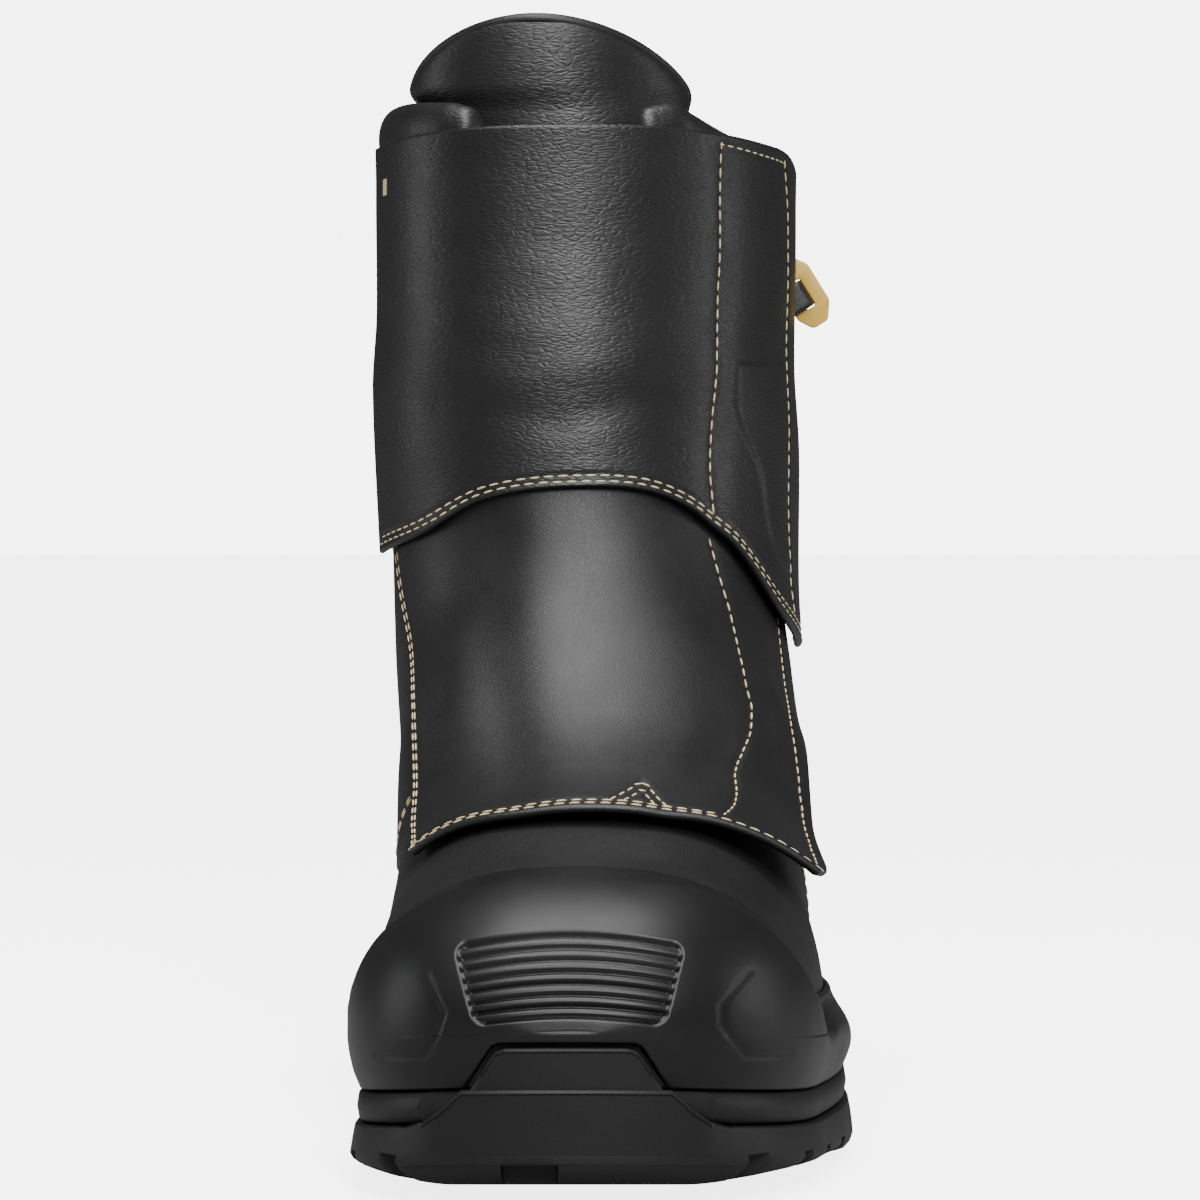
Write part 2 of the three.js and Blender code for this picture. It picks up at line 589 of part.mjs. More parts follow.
// Slots between the ribs of the pocket, arched a little, cut to one depth under the guard's face
const RIB_COUNT = 7;
const RIB_PITCH = 2.55;
const SLOT_HEIGHT = 1.0;
const POCKET_LEVEL = 0.52;
const POCKET_HALF = 26.5;
const POCKET_FOOT = 21.5;
const POCKET_ARCH = 2.6;
const POCKET_DEPTH = 2.0;
const POCKET_SHOULDER = 1.5;
const POCKET_STEPS = 4;
const pocketMiddle = planCentre(0.03);
const pocketTop = mix(bed(TOE_Y), TOE_HEIGHT, POCKET_LEVEL) + (RIB_COUNT * RIB_PITCH + SLOT_HEIGHT) / 2;
const slots = range(RIB_COUNT + 1).map((i) => {
  const top = pocketTop - i * RIB_PITCH;
  const shoulder = i === 0 ? POCKET_SHOULDER : 0;
  const half = mix(POCKET_HALF, POCKET_FOOT, Math.max(0, i - 1) / RIB_COUNT) - shoulder;
  const edge = (drop) => range(POCKET_STEPS + 1).map((j) => {
    const u = mix(-1, 1, j / POCKET_STEPS);
    return [pocketMiddle + u * half, top - POCKET_ARCH * u * u - drop];
  });
  return forwards([...edge(0), ...edge(SLOT_HEIGHT).reverse()], TOE_Y - UPPER_INSET, TOE_Y + TOE_ROUND);
});
const slotFloor = upperForm(UPPER_INSET + GUARD_BULGE - POCKET_DEPTH, 0, GUARD_TOP - POCKET_DEPTH, GUARD_END);
let toeGuard = guardForm;
for (const slot of slots) {
  toeGuard = toeGuard.subtract(slot.subtract(slotFloor));
}
toeGuard = toeGuard.subtract(upperClear).subtract(underBed).subtract(guardRoom);

// The insole lies on the midsole inside the upper
const INSOLE_THICK = 4;
const INSOLE_INSET = UPPER_INSET + WALL + 1;
const INSOLE_STATIONS = 20;
const insole = stack([
  ring(-INSOLE_INSET, (y) => bed(y) + GAP, INSOLE_STATIONS),
  ring(-INSOLE_INSET, (y) => bed(y) + GAP + INSOLE_THICK, INSOLE_STATIONS),
]).intersect(upperForm(-WALL - GAP));

// The tongue lies behind the throat and ends in a padded dome above the collar
const TONGUE_RISE = 40;
const DOME_HEIGHT = 26;
const DOME_POWER = 1.9;
const TONGUE_ROWS = [
  { at: 0.46, half: 0.245, set: 0.0, lean: 0.0, thick: 4.5 },
  { at: 0.60, half: 0.265, set: 0.0, lean: 0.0, thick: 5.0 },
  { at: 0.80, half: 0.300, set: 0.0, lean: 0.0, thick: 6.0 },
  { at: 0.90, half: 0.330, set: 3.0, lean: -0.3, thick: 7.0 },
  { at: 0.97, half: 0.340, set: 15.0, lean: -0.6, thick: 8.0 },
  { at: 1.06, half: 0.348, set: 17.0, lean: -0.8, thick: 8.5 },
  { at: 1.09, half: 0.380, set: 16.0, lean: -1.2, thick: 8.5 },
  { at: 1.20, half: 0.370, set: 14.0, lean: -1.2, thick: 7.5 },
];
const TONGUE_INSET = WALL + 4 * GAP;
const tongueRow = {
  half: follow(TONGUE_ROWS, (row) => row.half * SHAFT_WIDTH),
  set: follow(TONGUE_ROWS, (row) => row.set),
  lean: follow(TONGUE_ROWS, (row) => row.lean),
  thick: follow(TONGUE_ROWS, (row) => row.thick),
};
const TONGUE_END = 1 + TONGUE_RISE / SHAFT_TOP;
const TONGUE_PINCH = 0.32;
const DOME_THIN = 0.62;

// The turn at which the upper is a given distance from its front line
function turnFor(at, reach, side) {
  const half = upperRow.half(at) + side;
  const share = Math.min(Math.abs(reach) / half, 1) ** (upperRow.crown(at) / 2);
  return Math.PI / 2 - Math.sign(reach) * Math.asin(share);
}
const tongue = sheet(10, 16, (across, along, side) => {
  const at = mix(TONGUE_ROWS[0].at, TONGUE_END, 1 - (1 - along) ** 1.6);
  const dome = roundEnd((TONGUE_END - at) * SHAFT_TOP + GAP / 3, DOME_HEIGHT, DOME_POWER);
  const u = mix(-1, 1, across);
  const thick = tongueRow.thick(at) * mix(DOME_THIN, 1, dome);
  const pinch = TONGUE_PINCH * thick * u ** 4;
  const edge = Math.PI / 2 - turnFor(at, tongueRow.half(at) * dome, -TONGUE_INSET);
  const p = upperPoint(at, Math.PI / 2 - edge * u, -TONGUE_INSET - (side ? pinch : thick - pinch));
  return p.add(new THREE.Vector3(tongueRow.lean(at), tongueRow.set(at), 0));
});

// The padded collar: a roll round the top of the shaft whose ends curl in beside the tongue
const COLLAR_HEIGHT = 17;
const COLLAR_THICK = 12;
const COLLAR_PROUD = 0.8;
const COLLAR_CURL = 4.5;
const COLLAR_GAP = 23;
const COLLAR_STEPS = 26;
const COLLAR_SIDES = 10;
const COLLAR_SQUARE = 0.95;
const COLLAR_ENDS = [
  { full: 0.45, curl: 1.00 },
  { full: 0.82, curl: 0.72 },
  { full: 0.96, curl: 0.40 },
  { full: 1.00, curl: 0.15 },
];
const collarEnd = Math.PI / 2 - turnFor(1, COLLAR_GAP, 0);
const collar = loft(range(COLLAR_STEPS + 1).map((step) => {
  const t = 0.5 - 0.5 * Math.cos((Math.PI * step) / COLLAR_STEPS);
  const turn = mix(Math.PI / 2 - collarEnd, -1.5 * Math.PI + collarEnd, mix(step / COLLAR_STEPS, t, 0.5));
  const { full, curl } = COLLAR_ENDS[Math.min(step, COLLAR_STEPS - step)] ?? { full: 1, curl: 0 };
  const middle = COLLAR_THICK / 2 - COLLAR_PROUD + curl * COLLAR_CURL;
  return range(COLLAR_SIDES).map((i) => {
    const angle = (2 * Math.PI * i) / COLLAR_SIDES;
    const c = Math.cos(angle);
    const s = Math.sin(angle);
    const out = Math.sign(c) * Math.abs(c) ** COLLAR_SQUARE * (COLLAR_THICK / 2) * full;
    const up = Math.sign(s) * Math.abs(s) ** COLLAR_SQUARE * (COLLAR_HEIGHT / 2) * full;
    const p = upperPoint(1, turn, out - middle);
    const top = SHAFT_TOP - topDrop(upperPoint(1, turn, 0).x - WALL);
    return new THREE.Vector3(p.x, p.y, top + 2 * GAP + COLLAR_HEIGHT / 2 + up);
  });
}));

// Place on the upper at a given height along a given turn
function placeAtHeight(height, turn, side) {
  let low = NOSE_END;
  let high = UPPER_ROWS.at(-1).at;
  for (let i = 0; i < HALVINGS; i += 1) {
    const at = (low + high) / 2;
    if (upperPoint(at, turn, side).z < height) low = at;
    else high = at;
  }
  return high;
}

const FLAP_THICK = 2.2;
const degrees = (angle) => (angle * Math.PI) / 180;

// The instep flap: leather from the toe guard up to under the shaft flap. Rows go across it, from the inner
// side of the foot to the outer. start is where its lower edge crosses the upper, off how far it stands off.
const INSTEP_ROWS = [
  { at: 0.00, start: 0.345, low: 137, high: 152, off: 0.0 },
  { at: 0.15, start: 0.325, low: 122, high: 134, off: 0.0 },
  { at: 0.35, start: 0.303, low: 102, high: 108, off: 0.3 },
  { at: 0.55, start: 0.300, low: 80, high: 76, off: 0.8 },
  { at: 0.75, start: 0.310, low: 60, high: 42, off: 2.2 },
  { at: 0.90, start: 0.318, low: 43, high: 16, off: 4.6 },
  { at: 1.00, start: 0.322, low: 32, high: 0, off: 6.8 },
];
const instepRow = {
  start: follow(INSTEP_ROWS, (row) => row.start),
  low: follow(INSTEP_ROWS, (row) => degrees(row.low)),
  high: follow(INSTEP_ROWS, (row) => degrees(row.high)),
  off: follow(INSTEP_ROWS, (row) => row.off),
};
const INSTEP_END = 0.775;
const instepFlap = sheet(14, 12, (across, along, side) => {
  const at = mix(instepRow.start(across), INSTEP_END, along);
  const turn = mix(instepRow.low(across), instepRow.high(across), along);
  const off = instepRow.off(across) * (1 - along) ** 1.3;
  return upperPoint(at, turn, 2 * GAP + off + (side ? FLAP_THICK : 0));
});

// The shaft flap: leather guard round the front of the shaft, over the instep flap, closed on the outer side
const SHAFT_ROWS = [
  { at: 0.00, turn: 153, low: 0.593, high: 1.024, off: 0.0 },
  { at: 0.12, turn: 131, low: 0.614, high: 1.032, off: 0.1 },
  { at: 0.28, turn: 108, low: 0.652, high: 1.038, off: 0.2 },
  { at: 0.44, turn: 84, low: 0.664, high: 1.040, off: 0.4 },
  { at: 0.56, turn: 65, low: 0.654, high: 1.040, off: 0.8 },
  { at: 0.70, turn: 45, low: 0.606, high: 1.036, off: 1.2 },
  { at: 0.82, turn: 26, low: 0.535, high: 1.030, off: 1.6 },
  { at: 0.92, turn: 8, low: 0.498, high: 1.024, off: 1.9 },
  { at: 1.00, turn: -8, low: 0.486, high: 1.008, off: 2.0 },
];
const shaftRow = {
  turn: follow(SHAFT_ROWS, (row) => degrees(row.turn)),
  low: follow(SHAFT_ROWS, (row) => row.low * SHAFT_TOP),
  high: follow(SHAFT_ROWS, (row) => row.high * SHAFT_TOP),
  off: follow(SHAFT_ROWS, (row) => row.off),
};
const SHAFT_STAND = [
  { at: 0.0, off: 3.3 },
  { at: 0.4, off: 3.0 },
  { at: 0.6, off: 1.2 },
  { at: 0.9, off: 1.2 },
  { at: 1.0, off: 1.4 },
];
const shaftStand = follow(SHAFT_STAND, (row) => row.off);
const shaftFlap = sheet(16, 11, (across, along, side) => {
  const turn = shaftRow.turn(across);
  const height = mix(shaftRow.low(across), shaftRow.high(across), along);
  const off = shaftStand(along) + shaftRow.off(across) + (side ? FLAP_THICK : 0);
  return upperPoint(placeAtHeight(height, turn, off), turn, off);
});

// The quick-release tab: a moulded plate with a slot, standing out behind the flap's outer edge.
// Its own axes: wide runs away from the shaft, long runs down beside it, and it is thin from front to back.
const PULL_HEIGHT = 0.876;
const PULL_TURN = -15.5;
const PULL_OFF = 8;
const PULL_TILT = 32;
const PULL_THICK = 3;
const PULL_OUTLINE = [[5.3, -5], [5.3, 5], [2, 9.5], [-2.5, 9.5], [-5, 5.5], [-5, -3], [-2, -7], [2.5, -7]];
const PULL_SLOT_WIDE = 2.6;
const PULL_SLOT_LONG = 8.4;
const pullTurn = degrees(PULL_TURN);
const pullAt = placeAtHeight(PULL_HEIGHT * SHAFT_TOP, pullTurn, 0);
const pullMiddle = upperPoint(pullAt, pullTurn, 0).add(new THREE.Vector3(PULL_OFF, 0, 0));
const pullWide = new THREE.Vector3(Math.cos(degrees(PULL_TILT)), 0, Math.sin(degrees(PULL_TILT)));
const pullLong = new THREE.Vector3(Math.sin(degrees(PULL_TILT)), 0, -Math.cos(degrees(PULL_TILT)));
const pullDeep = new THREE.Vector3(0, 1, 0);

// A flat outline between two depths, in axes of its own about the tab's middle
function plate(corners, from, to, first, second, third, holes = []) {
  const shape = new THREE.Shape(corners.map(([a, b]) => new THREE.Vector2(a, b)));
  shape.holes = holes.map((hole) => new THREE.Path(hole.map(([a, b]) => new THREE.Vector2(a, b))));
  const geometry = new THREE.ExtrudeGeometry(shape, { depth: to - from, bevelEnabled: false });
  geometry.translate(0, 0, from);
  geometry.applyMatrix4(new THREE.Matrix4().makeBasis(first, second, third).setPosition(pullMiddle));
  return solid(geometry);
}
const slotWide = PULL_SLOT_WIDE / 2;
const slotLong = PULL_SLOT_LONG / 2;
const pullTab = plate(
  PULL_OUTLINE, -PULL_THICK / 2, PULL_THICK / 2, pullWide, pullLong, pullDeep,
  [[[-slotWide, -slotLong], [-slotWide, slotLong], [slotWide, slotLong], [slotWide, -slotLong]]],
);

// Its strap: leather sewn to the shaft, looped through the slot
const STRAP_THICK = 1.6;
const STRAP_END = -38;
const STRAP_DROP = 4.6;
const LOOP_REACH = 12.8;
const LOOP_INSIDE = 5 + GAP;
const strapHalf = slotLong - GAP;
const loopIn = PULL_THICK / 2 + GAP;
const loopOut = loopIn + STRAP_THICK;
const loop = plate([
  [-LOOP_REACH, -loopOut], [STRAP_THICK / 2, -loopOut], [STRAP_THICK / 2, loopOut], [-LOOP_REACH, loopOut],
], -strapHalf, strapHalf, pullWide, pullDeep.clone().negate(), pullLong, [[
  [-LOOP_INSIDE, -loopIn], [-LOOP_INSIDE, loopIn], [-STRAP_THICK / 2, loopIn], [-STRAP_THICK / 2, -loopIn],
]]);
const strapBase = sheet(4, 2, (across, along, side) => {
  const turn = mix(pullTurn, degrees(STRAP_END), across);
  const height = pullMiddle.z - STRAP_DROP + mix(-strapHalf, strapHalf, along);
  const off = 2 * GAP + (side ? STRAP_THICK : 0);
  return upperPoint(placeAtHeight(height, turn, off), turn, off);
});
const pullStrap = loop.subtract(upperForm(2 * GAP, SHAFT_TOP)).add(strapBase);

const leather = { color: 0x17171a, roughness: 0.55, metalness: 0 };
const rubber = { color: 0x141415, roughness: 0.7, metalness: 0 };
const satin = { color: 0x151517, roughness: 0.5, metalness: 0 };
const padded = { color: 0x141416, roughness: 0.65, metalness: 0 };
const yellow = { color: 0xe0a92c, roughness: 0.35, metalness: 0 };

const boot = new THREE.Group();
function add(name, manifold, look) {
  const mesh = new THREE.Mesh(geometryOf(manifold), new THREE.MeshStandardMaterial(look));
  mesh.name = name;
  boot.add(mesh);
}
add('outsole', outsole, rubber);
add('midsole', midsole, satin);
add('toe_guard', toeGuard, satin);
add('insole', insole, padded);
add('upper', upper, leather);
add('tongue', tongue, padded);
add('collar', collar, padded);
add('instep_flap', instepFlap, leather);
add('shaft_flap', shaftFlap, leather);
add('pull_tab', pullTab, yellow);
add('pull_strap', pullStrap, leather);

// The origin is on the floor, under the middle of the whole boot
const box = new THREE.Box3().setFromObject(boot);
const middle = box.getCenter(new THREE.Vector3());
boot.position.set(-middle.x, -middle.y, -box.min.z);

export default boot;
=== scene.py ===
"""A left foundry boot: its pieces, finishes, floor, light and camera."""
import math

import bmesh
import bpy
import numpy as np
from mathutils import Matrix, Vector
from mathutils.bvhtree import BVHTree


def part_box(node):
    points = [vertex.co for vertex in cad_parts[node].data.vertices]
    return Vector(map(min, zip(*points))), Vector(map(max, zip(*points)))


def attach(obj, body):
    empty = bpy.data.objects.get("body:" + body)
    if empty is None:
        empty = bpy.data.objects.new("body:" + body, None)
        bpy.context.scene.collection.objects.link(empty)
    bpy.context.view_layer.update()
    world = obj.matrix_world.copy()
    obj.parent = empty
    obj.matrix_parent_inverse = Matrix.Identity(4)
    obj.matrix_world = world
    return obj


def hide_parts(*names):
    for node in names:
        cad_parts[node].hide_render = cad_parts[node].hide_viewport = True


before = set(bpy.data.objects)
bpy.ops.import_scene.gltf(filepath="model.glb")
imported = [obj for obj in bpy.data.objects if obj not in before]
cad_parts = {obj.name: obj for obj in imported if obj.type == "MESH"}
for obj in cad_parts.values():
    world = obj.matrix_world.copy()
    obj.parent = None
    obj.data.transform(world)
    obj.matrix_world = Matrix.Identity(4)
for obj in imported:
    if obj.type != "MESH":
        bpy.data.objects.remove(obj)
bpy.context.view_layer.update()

# The outsole: one moulding of black nitrile rubber, with lugs under forefoot and heel and a raised waist
# between them. A lip climbs over the front of the midsole and ends in a tab under the toe guard.
MM = 0.001
MERGE = 0.002
SOLE_LENGTH = 312.0
BALL_WIDTH = 119.0
HEEL_WIDTH = 88.0
TOE_SPRING = 7.0
HEEL_LIFT = 2.0
SPRING_END = 0.27
LIFT_START = 0.93
OUTSOLE_SIDE = 13.5
BED_BALL = 21.5
BED_HEEL = 30.0
LUG_DEPTH = 6.0
GROOVE_WIDTH = 5.5
WAIST_ARCH = 8.0
TOE_ROUND = 58.0
HEEL_ROUND = 40.0
PLAN_POWER = 2.35
TOE_Y = -SOLE_LENGTH / 2
HEEL_Y = SOLE_LENGTH / 2


def table(columns, rows):
    """Named columns of a short table."""
    return dict(zip(columns.split(), np.array(rows, float).T))


def follow(places, values):
    """A smooth curve through a table's values."""
    before = np.maximum(np.arange(len(places)) - 1, 0)
    after = np.minimum(np.arange(len(places)) + 1, len(places) - 1)
    slope = (values[after] - values[before]) / (places[after] - places[before])

    def value(at):
        at = np.asarray(at, float)
        i = np.clip(np.searchsorted(places, at, side="right") - 1, 0, len(places) - 2)
        step = places[i + 1] - places[i]
        t = np.clip((at - places[i]) / step, 0, 1)
        rise = t * t * (3 - 2 * t)
        return (
            values[i] * (1 - rise)
            + values[i + 1] * rise
            + slope[i] * step * t * (1 - t) ** 2
            - slope[i + 1] * step * t * t * (1 - t)
        )

    return value


SOLE_PLAN = table("at centre half", [
    (0.00, -0.064 * BALL_WIDTH, 0.432 * BALL_WIDTH),
    (0.10, -0.044 * BALL_WIDTH, 0.451 * BALL_WIDTH),
    (0.20, -0.019 * BALL_WIDTH, 0.477 * BALL_WIDTH),
    (0.32, 0.018 * BALL_WIDTH, 0.500 * BALL_WIDTH),
    (0.42, 0.038 * BALL_WIDTH, 0.485 * BALL_WIDTH),
    (0.52, 0.040 * BALL_WIDTH, 0.442 * BALL_WIDTH),
    (0.62, 0.026 * BALL_WIDTH, 0.396 * BALL_WIDTH),
    (0.72, 0.010 * HEEL_WIDTH, 0.503 * HEEL_WIDTH),
    (0.86, 0.000 * HEEL_WIDTH, 0.500 * HEEL_WIDTH),
    (1.00, 0.000 * HEEL_WIDTH, 0.490 * HEEL_WIDTH),
])
BED = table("at height", [
    (0.00, 1.00 * BED_BALL),
    (0.40, 1.00 * BED_BALL),
    (0.55, 1.12 * BED_BALL),
    (0.72, 0.95 * BED_HEEL),
    (0.84, 1.00 * BED_HEEL),
    (1.00, 1.00 * BED_HEEL),
])
plan_centre = follow(SOLE_PLAN["at"], SOLE_PLAN["centre"])
plan_row = follow(SOLE_PLAN["at"], SOLE_PLAN["half"])
bed_row = follow(BED["at"], BED["height"])


def mix(a, b, t):
    return a + (b - a) * t


def ease(low, high, value):
    """0 below low, 1 above high, smooth between."""
    t = np.clip((np.asarray(value, float) - low) / (high - low), 0, 1)
    return t * t * (3 - 2 * t)


def share_of(y):
    return (y - TOE_Y) / SOLE_LENGTH


def round_end(depth, radius, power):
    left = 1 - np.clip(depth / radius, 0, 1)
    return (1 - left**power) ** (1 / power)


def plan_half(y, outset):
    toe = round_end(y - (TOE_Y - outset), TOE_ROUND + outset, PLAN_POWER)
    heel = round_end(HEEL_Y + outset - y, HEEL_ROUND + outset, PLAN_POWER)
    return (plan_row(share_of(y)) + outset) * toe * heel


def underside(y):
    toe = np.maximum(0, 1 - share_of(y) / SPRING_END)
    heel = np.maximum(0, (share_of(y) - LIFT_START) / (1 - LIFT_START))
    return TOE_SPRING * toe * toe + HEEL_LIFT * heel * heel


def bed(y):
    return bed_row(share_of(y)) + underside(y)


def around(station, outset):
    """A place on the sole's outline: station is 0 at the toe, 1 at the heel, negative on the inner side."""
    turn = math.pi * np.abs(station)
    y = TOE_Y - outset + (SOLE_LENGTH + 2 * outset) * (1 - np.cos(turn)) / 2
    x = plan_centre(share_of(y)) + np.where(station < 0, -1, 1) * plan_half(y, outset)
    return x, y


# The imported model's origin is under the middle of the whole boot. Sizes here start from the sole's centre.
sole_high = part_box("outsole")[1]
outline_x = around(np.linspace(-1, 1, 401), np.zeros(401))[0]
ORIGIN = np.array([sole_high.x / MM - outline_x.max(), sole_high.y / MM - HEEL_Y, 0.0])


def make(name, points, faces, finishes=None):
    """One smooth object from corners in millimetres, its seams closed and its faces outwards."""
    mesh = bpy.data.meshes.new(name)
    corners = (np.asarray(points, float).reshape(-1, 3) + ORIGIN) * MM
    mesh.from_pydata(corners.tolist(), [], [list(map(int, face)) for face in faces])
    if finishes is not None:
        mesh.polygons.foreach_set("material_index", finishes)
    obj = bpy.data.objects.new(name, mesh)
    bpy.context.scene.collection.objects.link(obj)
    close(obj)
    return obj


def close(obj):
    """Merges doubled corners and turns every face outwards."""
    bm = bmesh.new()
    bm.from_mesh(obj.data)
    bmesh.ops.remove_doubles(bm, verts=bm.verts, dist=MERGE * MM)
    bmesh.ops.dissolve_degenerate(bm, edges=bm.edges, dist=MERGE * MM)
    bmesh.ops.recalc_face_normals(bm, faces=bm.faces)
    bm.to_mesh(obj.data)
    bm.free()
    obj.data.polygons.foreach_set("use_smooth", [True] * len(obj.data.polygons))
    obj.data.update()


def stack(name, stations, rings):
    """A closed solid from outlines laid on each other, closed above and below by strips across the foot."""
    rows = []
    for outset, height in rings:
        x, y = around(stations, np.full(len(stations), float(outset)))
        rows.append(np.stack([x, y, height(y)], -1))
    n = len(stations)
    step = np.arange(n)
    after = (step + 1) % n
    faces = []
    for r in range(len(rows) - 1):
        faces += np.stack([r * n + step, r * n + after, (r + 1) * n + after, (r + 1) * n + step], -1).tolist()
    for start in (0, (len(rows) - 1) * n):
        for i in range(n // 2):
            corners = [start + i, start + i + 1, start + (n - i - 1) % n, start + (n - i) % n]
            faces.append(list(dict.fromkeys(corners)))
    return make(name, np.concatenate(rows), [face for face in faces if len(face) > 2])


def between(name, one, other):
    """A solid between two outlines with the same number of corners."""
    n = len(one)
    faces = [list(range(n))[::-1], list(range(n, 2 * n))]
    faces += [[i, (i + 1) % n, n + (i + 1) % n, n + i] for i in range(n)]
    return make(name, list(one) + list(other), faces)


def prism(name, corners, low, high):
    """A flat outline pushed upwards: corners are (x, y)."""
    return between(name, [(x, y, low) for x, y in corners], [(x, y, high) for x, y in corners])


def cut(obj, cutters):
    """Takes each cutter out of obj and deletes it."""
    for cutter in cutters:
        modifier = obj.modifiers.new("cut", "BOOLEAN")
        modifier.operation = "DIFFERENCE"
        modifier.solver = "EXACT"
        modifier.object = cutter
        bake(obj)
        bpy.data.objects.remove(cutter)


def bake(obj):
    """Turns an object's modifiers into its mesh."""
    graph = bpy.context.evaluated_depsgraph_get()
    mesh = bpy.data.meshes.new_from_object(obj.evaluated_get(graph))
    old = obj.data
    obj.modifiers.clear()
    obj.data = mesh
    bpy.data.meshes.remove(old)


SIDE_STATIONS = 150
outer_stations = np.linspace(0, 1, SIDE_STATIONS + 1)
OUTLINE = np.concatenate([outer_stations, -outer_stations[1:-1][::-1]])
OUTSOLE_PROFILE = table("outset height", [
    (-3.4, 0.0),
    (-2.0, 0.6),
    (-0.6, 2.4),
    (0.0, 4.4),
    (-0.2, 7.0),
    (-0.6, 10.0),
    (-1.2, OUTSOLE_SIDE - 0.5),
    (-2.0, OUTSOLE_SIDE),
])
outsole = stack("outsole_body", OUTLINE, [
    (outset, lambda y, height=height: underside(y) + height)
    for outset, height in zip(OUTSOLE_PROFILE["outset"], OUTSOLE_PROFILE["height"])
])

# Grooves between the lugs: a raised waist, chevrons across the foot and channels along it
GROOVE_ROWS = ((0.045, 0.066, 7, 15.0), (0.745, 0.072, 3, -12.0))
CHANNEL_ROWS = ((0.09, 0.545, 0.20), (0.64, 0.90, 0.16))
CHANNEL_WIDTH = 4.5


def length_of(share):
    return TOE_Y + share * SOLE_LENGTH


cutters = []
for first, pitch, count, lead in GROOVE_ROWS:
    for place in first + pitch * np.arange(count):
        y = length_of(place)
        middle = float(plan_centre(place))
        half = GROOVE_WIDTH / 2
        corners = [
            (middle - BALL_WIDTH, y + lead - half),
            (middle, y - half),
            (middle + BALL_WIDTH, y + lead - half),
            (middle + BALL_WIDTH, y + lead + half),
            (middle, y + half),
            (middle - BALL_WIDTH, y + lead + half),
        ]
        cutters.append(prism("groove", corners, -LUG_DEPTH, float(underside(y)) + LUG_DEPTH))
for start, end, out in CHANNEL_ROWS:
    for side in (-1, 1):
        places = np.linspace(start, end, 9)
        y = length_of(places)
        x = plan_centre(places) + side * out * BALL_WIDTH
        left = list(zip(x - CHANNEL_WIDTH / 2, y))
        right = list(zip(x + CHANNEL_WIDTH / 2, y))[::-1]
        cutters.append(prism("channel", left + right, -LUG_DEPTH, LUG_DEPTH))
WAIST = [
    (0.515, -LUG_DEPTH),
    (0.535, 0.7 * WAIST_ARCH),
    (0.570, WAIST_ARCH),
    (0.655, WAIST_ARCH),
    (0.668, -LUG_DEPTH),
]
waist = [[(x, length_of(share), z) for share, z in WAIST] for x in (-BALL_WIDTH, BALL_WIDTH)]
cutters.append(between("waist", *waist))
# A notch under the tip of the toe
NOTCH = [(-23, -6), (-9, -6), (-10, 8), (-22, 8)]
NOTCH_HIGH = 4.5
notch = [(x, TOE_Y + y) for x, y in NOTCH]
cutters.append(prism("toe_notch", notch, -LUG_DEPTH, float(underside(TOE_Y)) + NOTCH_HIGH))
cut(outsole, cutters)


def grid_faces(nu, nv, wrap_u=False, wrap_v=False):
    """Quads of a grid of nu by nv corners."""
    u = np.arange(nu if wrap_u else nu - 1)
    v = np.arange(nv if wrap_v else nv - 1)
    u, v = np.meshgrid(u, v, indexing="ij")
    next_u = (u + 1) % nu
    next_v = (v + 1) % nv
    return np.stack([u * nv + v, next_u * nv + v, next_u * nv + next_v, u * nv + next_v], -1).reshape(-1, 4)


def shell(name, outer, inner):
    """A sheet of material between an outer and an inner grid of corners, closed along its four edges."""
    nu, nv = outer.shape[:2]
    count = nu * nv
    faces = grid_faces(nu, nv)
    corners = np.arange(count).reshape(nu, nv)
    rim = np.concatenate([corners[:, 0], corners[-1, 1:], corners[:-1, -1][::-1], corners[0, 1:-1][::-1]])
    after = np.roll(rim, -1)
    edge = np.stack([rim, after, after + count, rim + count], -1)
    return make(name, np.concatenate([outer.reshape(-1, 3), inner.reshape(-1, 3)]),
                np.concatenate([faces, faces[:, ::-1] + count, edge]))


# The lip and its tab stand along the toe
LIP_EDGE = table("across height", [
    (0.000, BED_BALL),
    (0.116 * BALL_WIDTH, BED_BALL),
    (0.201 * BALL_WIDTH, BED_BALL),
    (0.242 * BALL_WIDTH, mix(OUTSOLE_SIDE, BED_BALL, 0.45)),
    (0.275 * BALL_WIDTH, mix(OUTSOLE_SIDE, BED_BALL, 0.12)),
    (0.319 * BALL_WIDTH, OUTSOLE_SIDE),
])
TAB_TOP = 31.0
TAB_EDGE = table("across height", [
    (0.000, TAB_TOP),
    (0.118 * BALL_WIDTH, TAB_TOP),
    (0.135 * BALL_WIDTH, mix(BED_BALL, TAB_TOP, 0.93)),
    (0.147 * BALL_WIDTH, mix(BED_BALL, TAB_TOP, 0.72)),
    (0.190 * BALL_WIDTH, BED_BALL - 1),
])
LIP_THICK = 2.7
LIP_OUT = 0.9
TAB_OUT = 0.5
LIP_ROOT = 4.2
HALVINGS = 40
toe_middle = float(plan_centre(0.0))


def toe_edge(x, outset):
    """Where the sole's front edge lies at a place across the foot."""
    near = TOE_Y - outset
    far = near + TOE_ROUND
    for _ in range(HALVINGS):
        y = (near + far) / 2
        outside = np.abs(x - plan_centre(share_of(y))) > plan_half(y, outset)
        near = np.where(outside, y, near)
        far = np.where(outside, far, y)
    return far


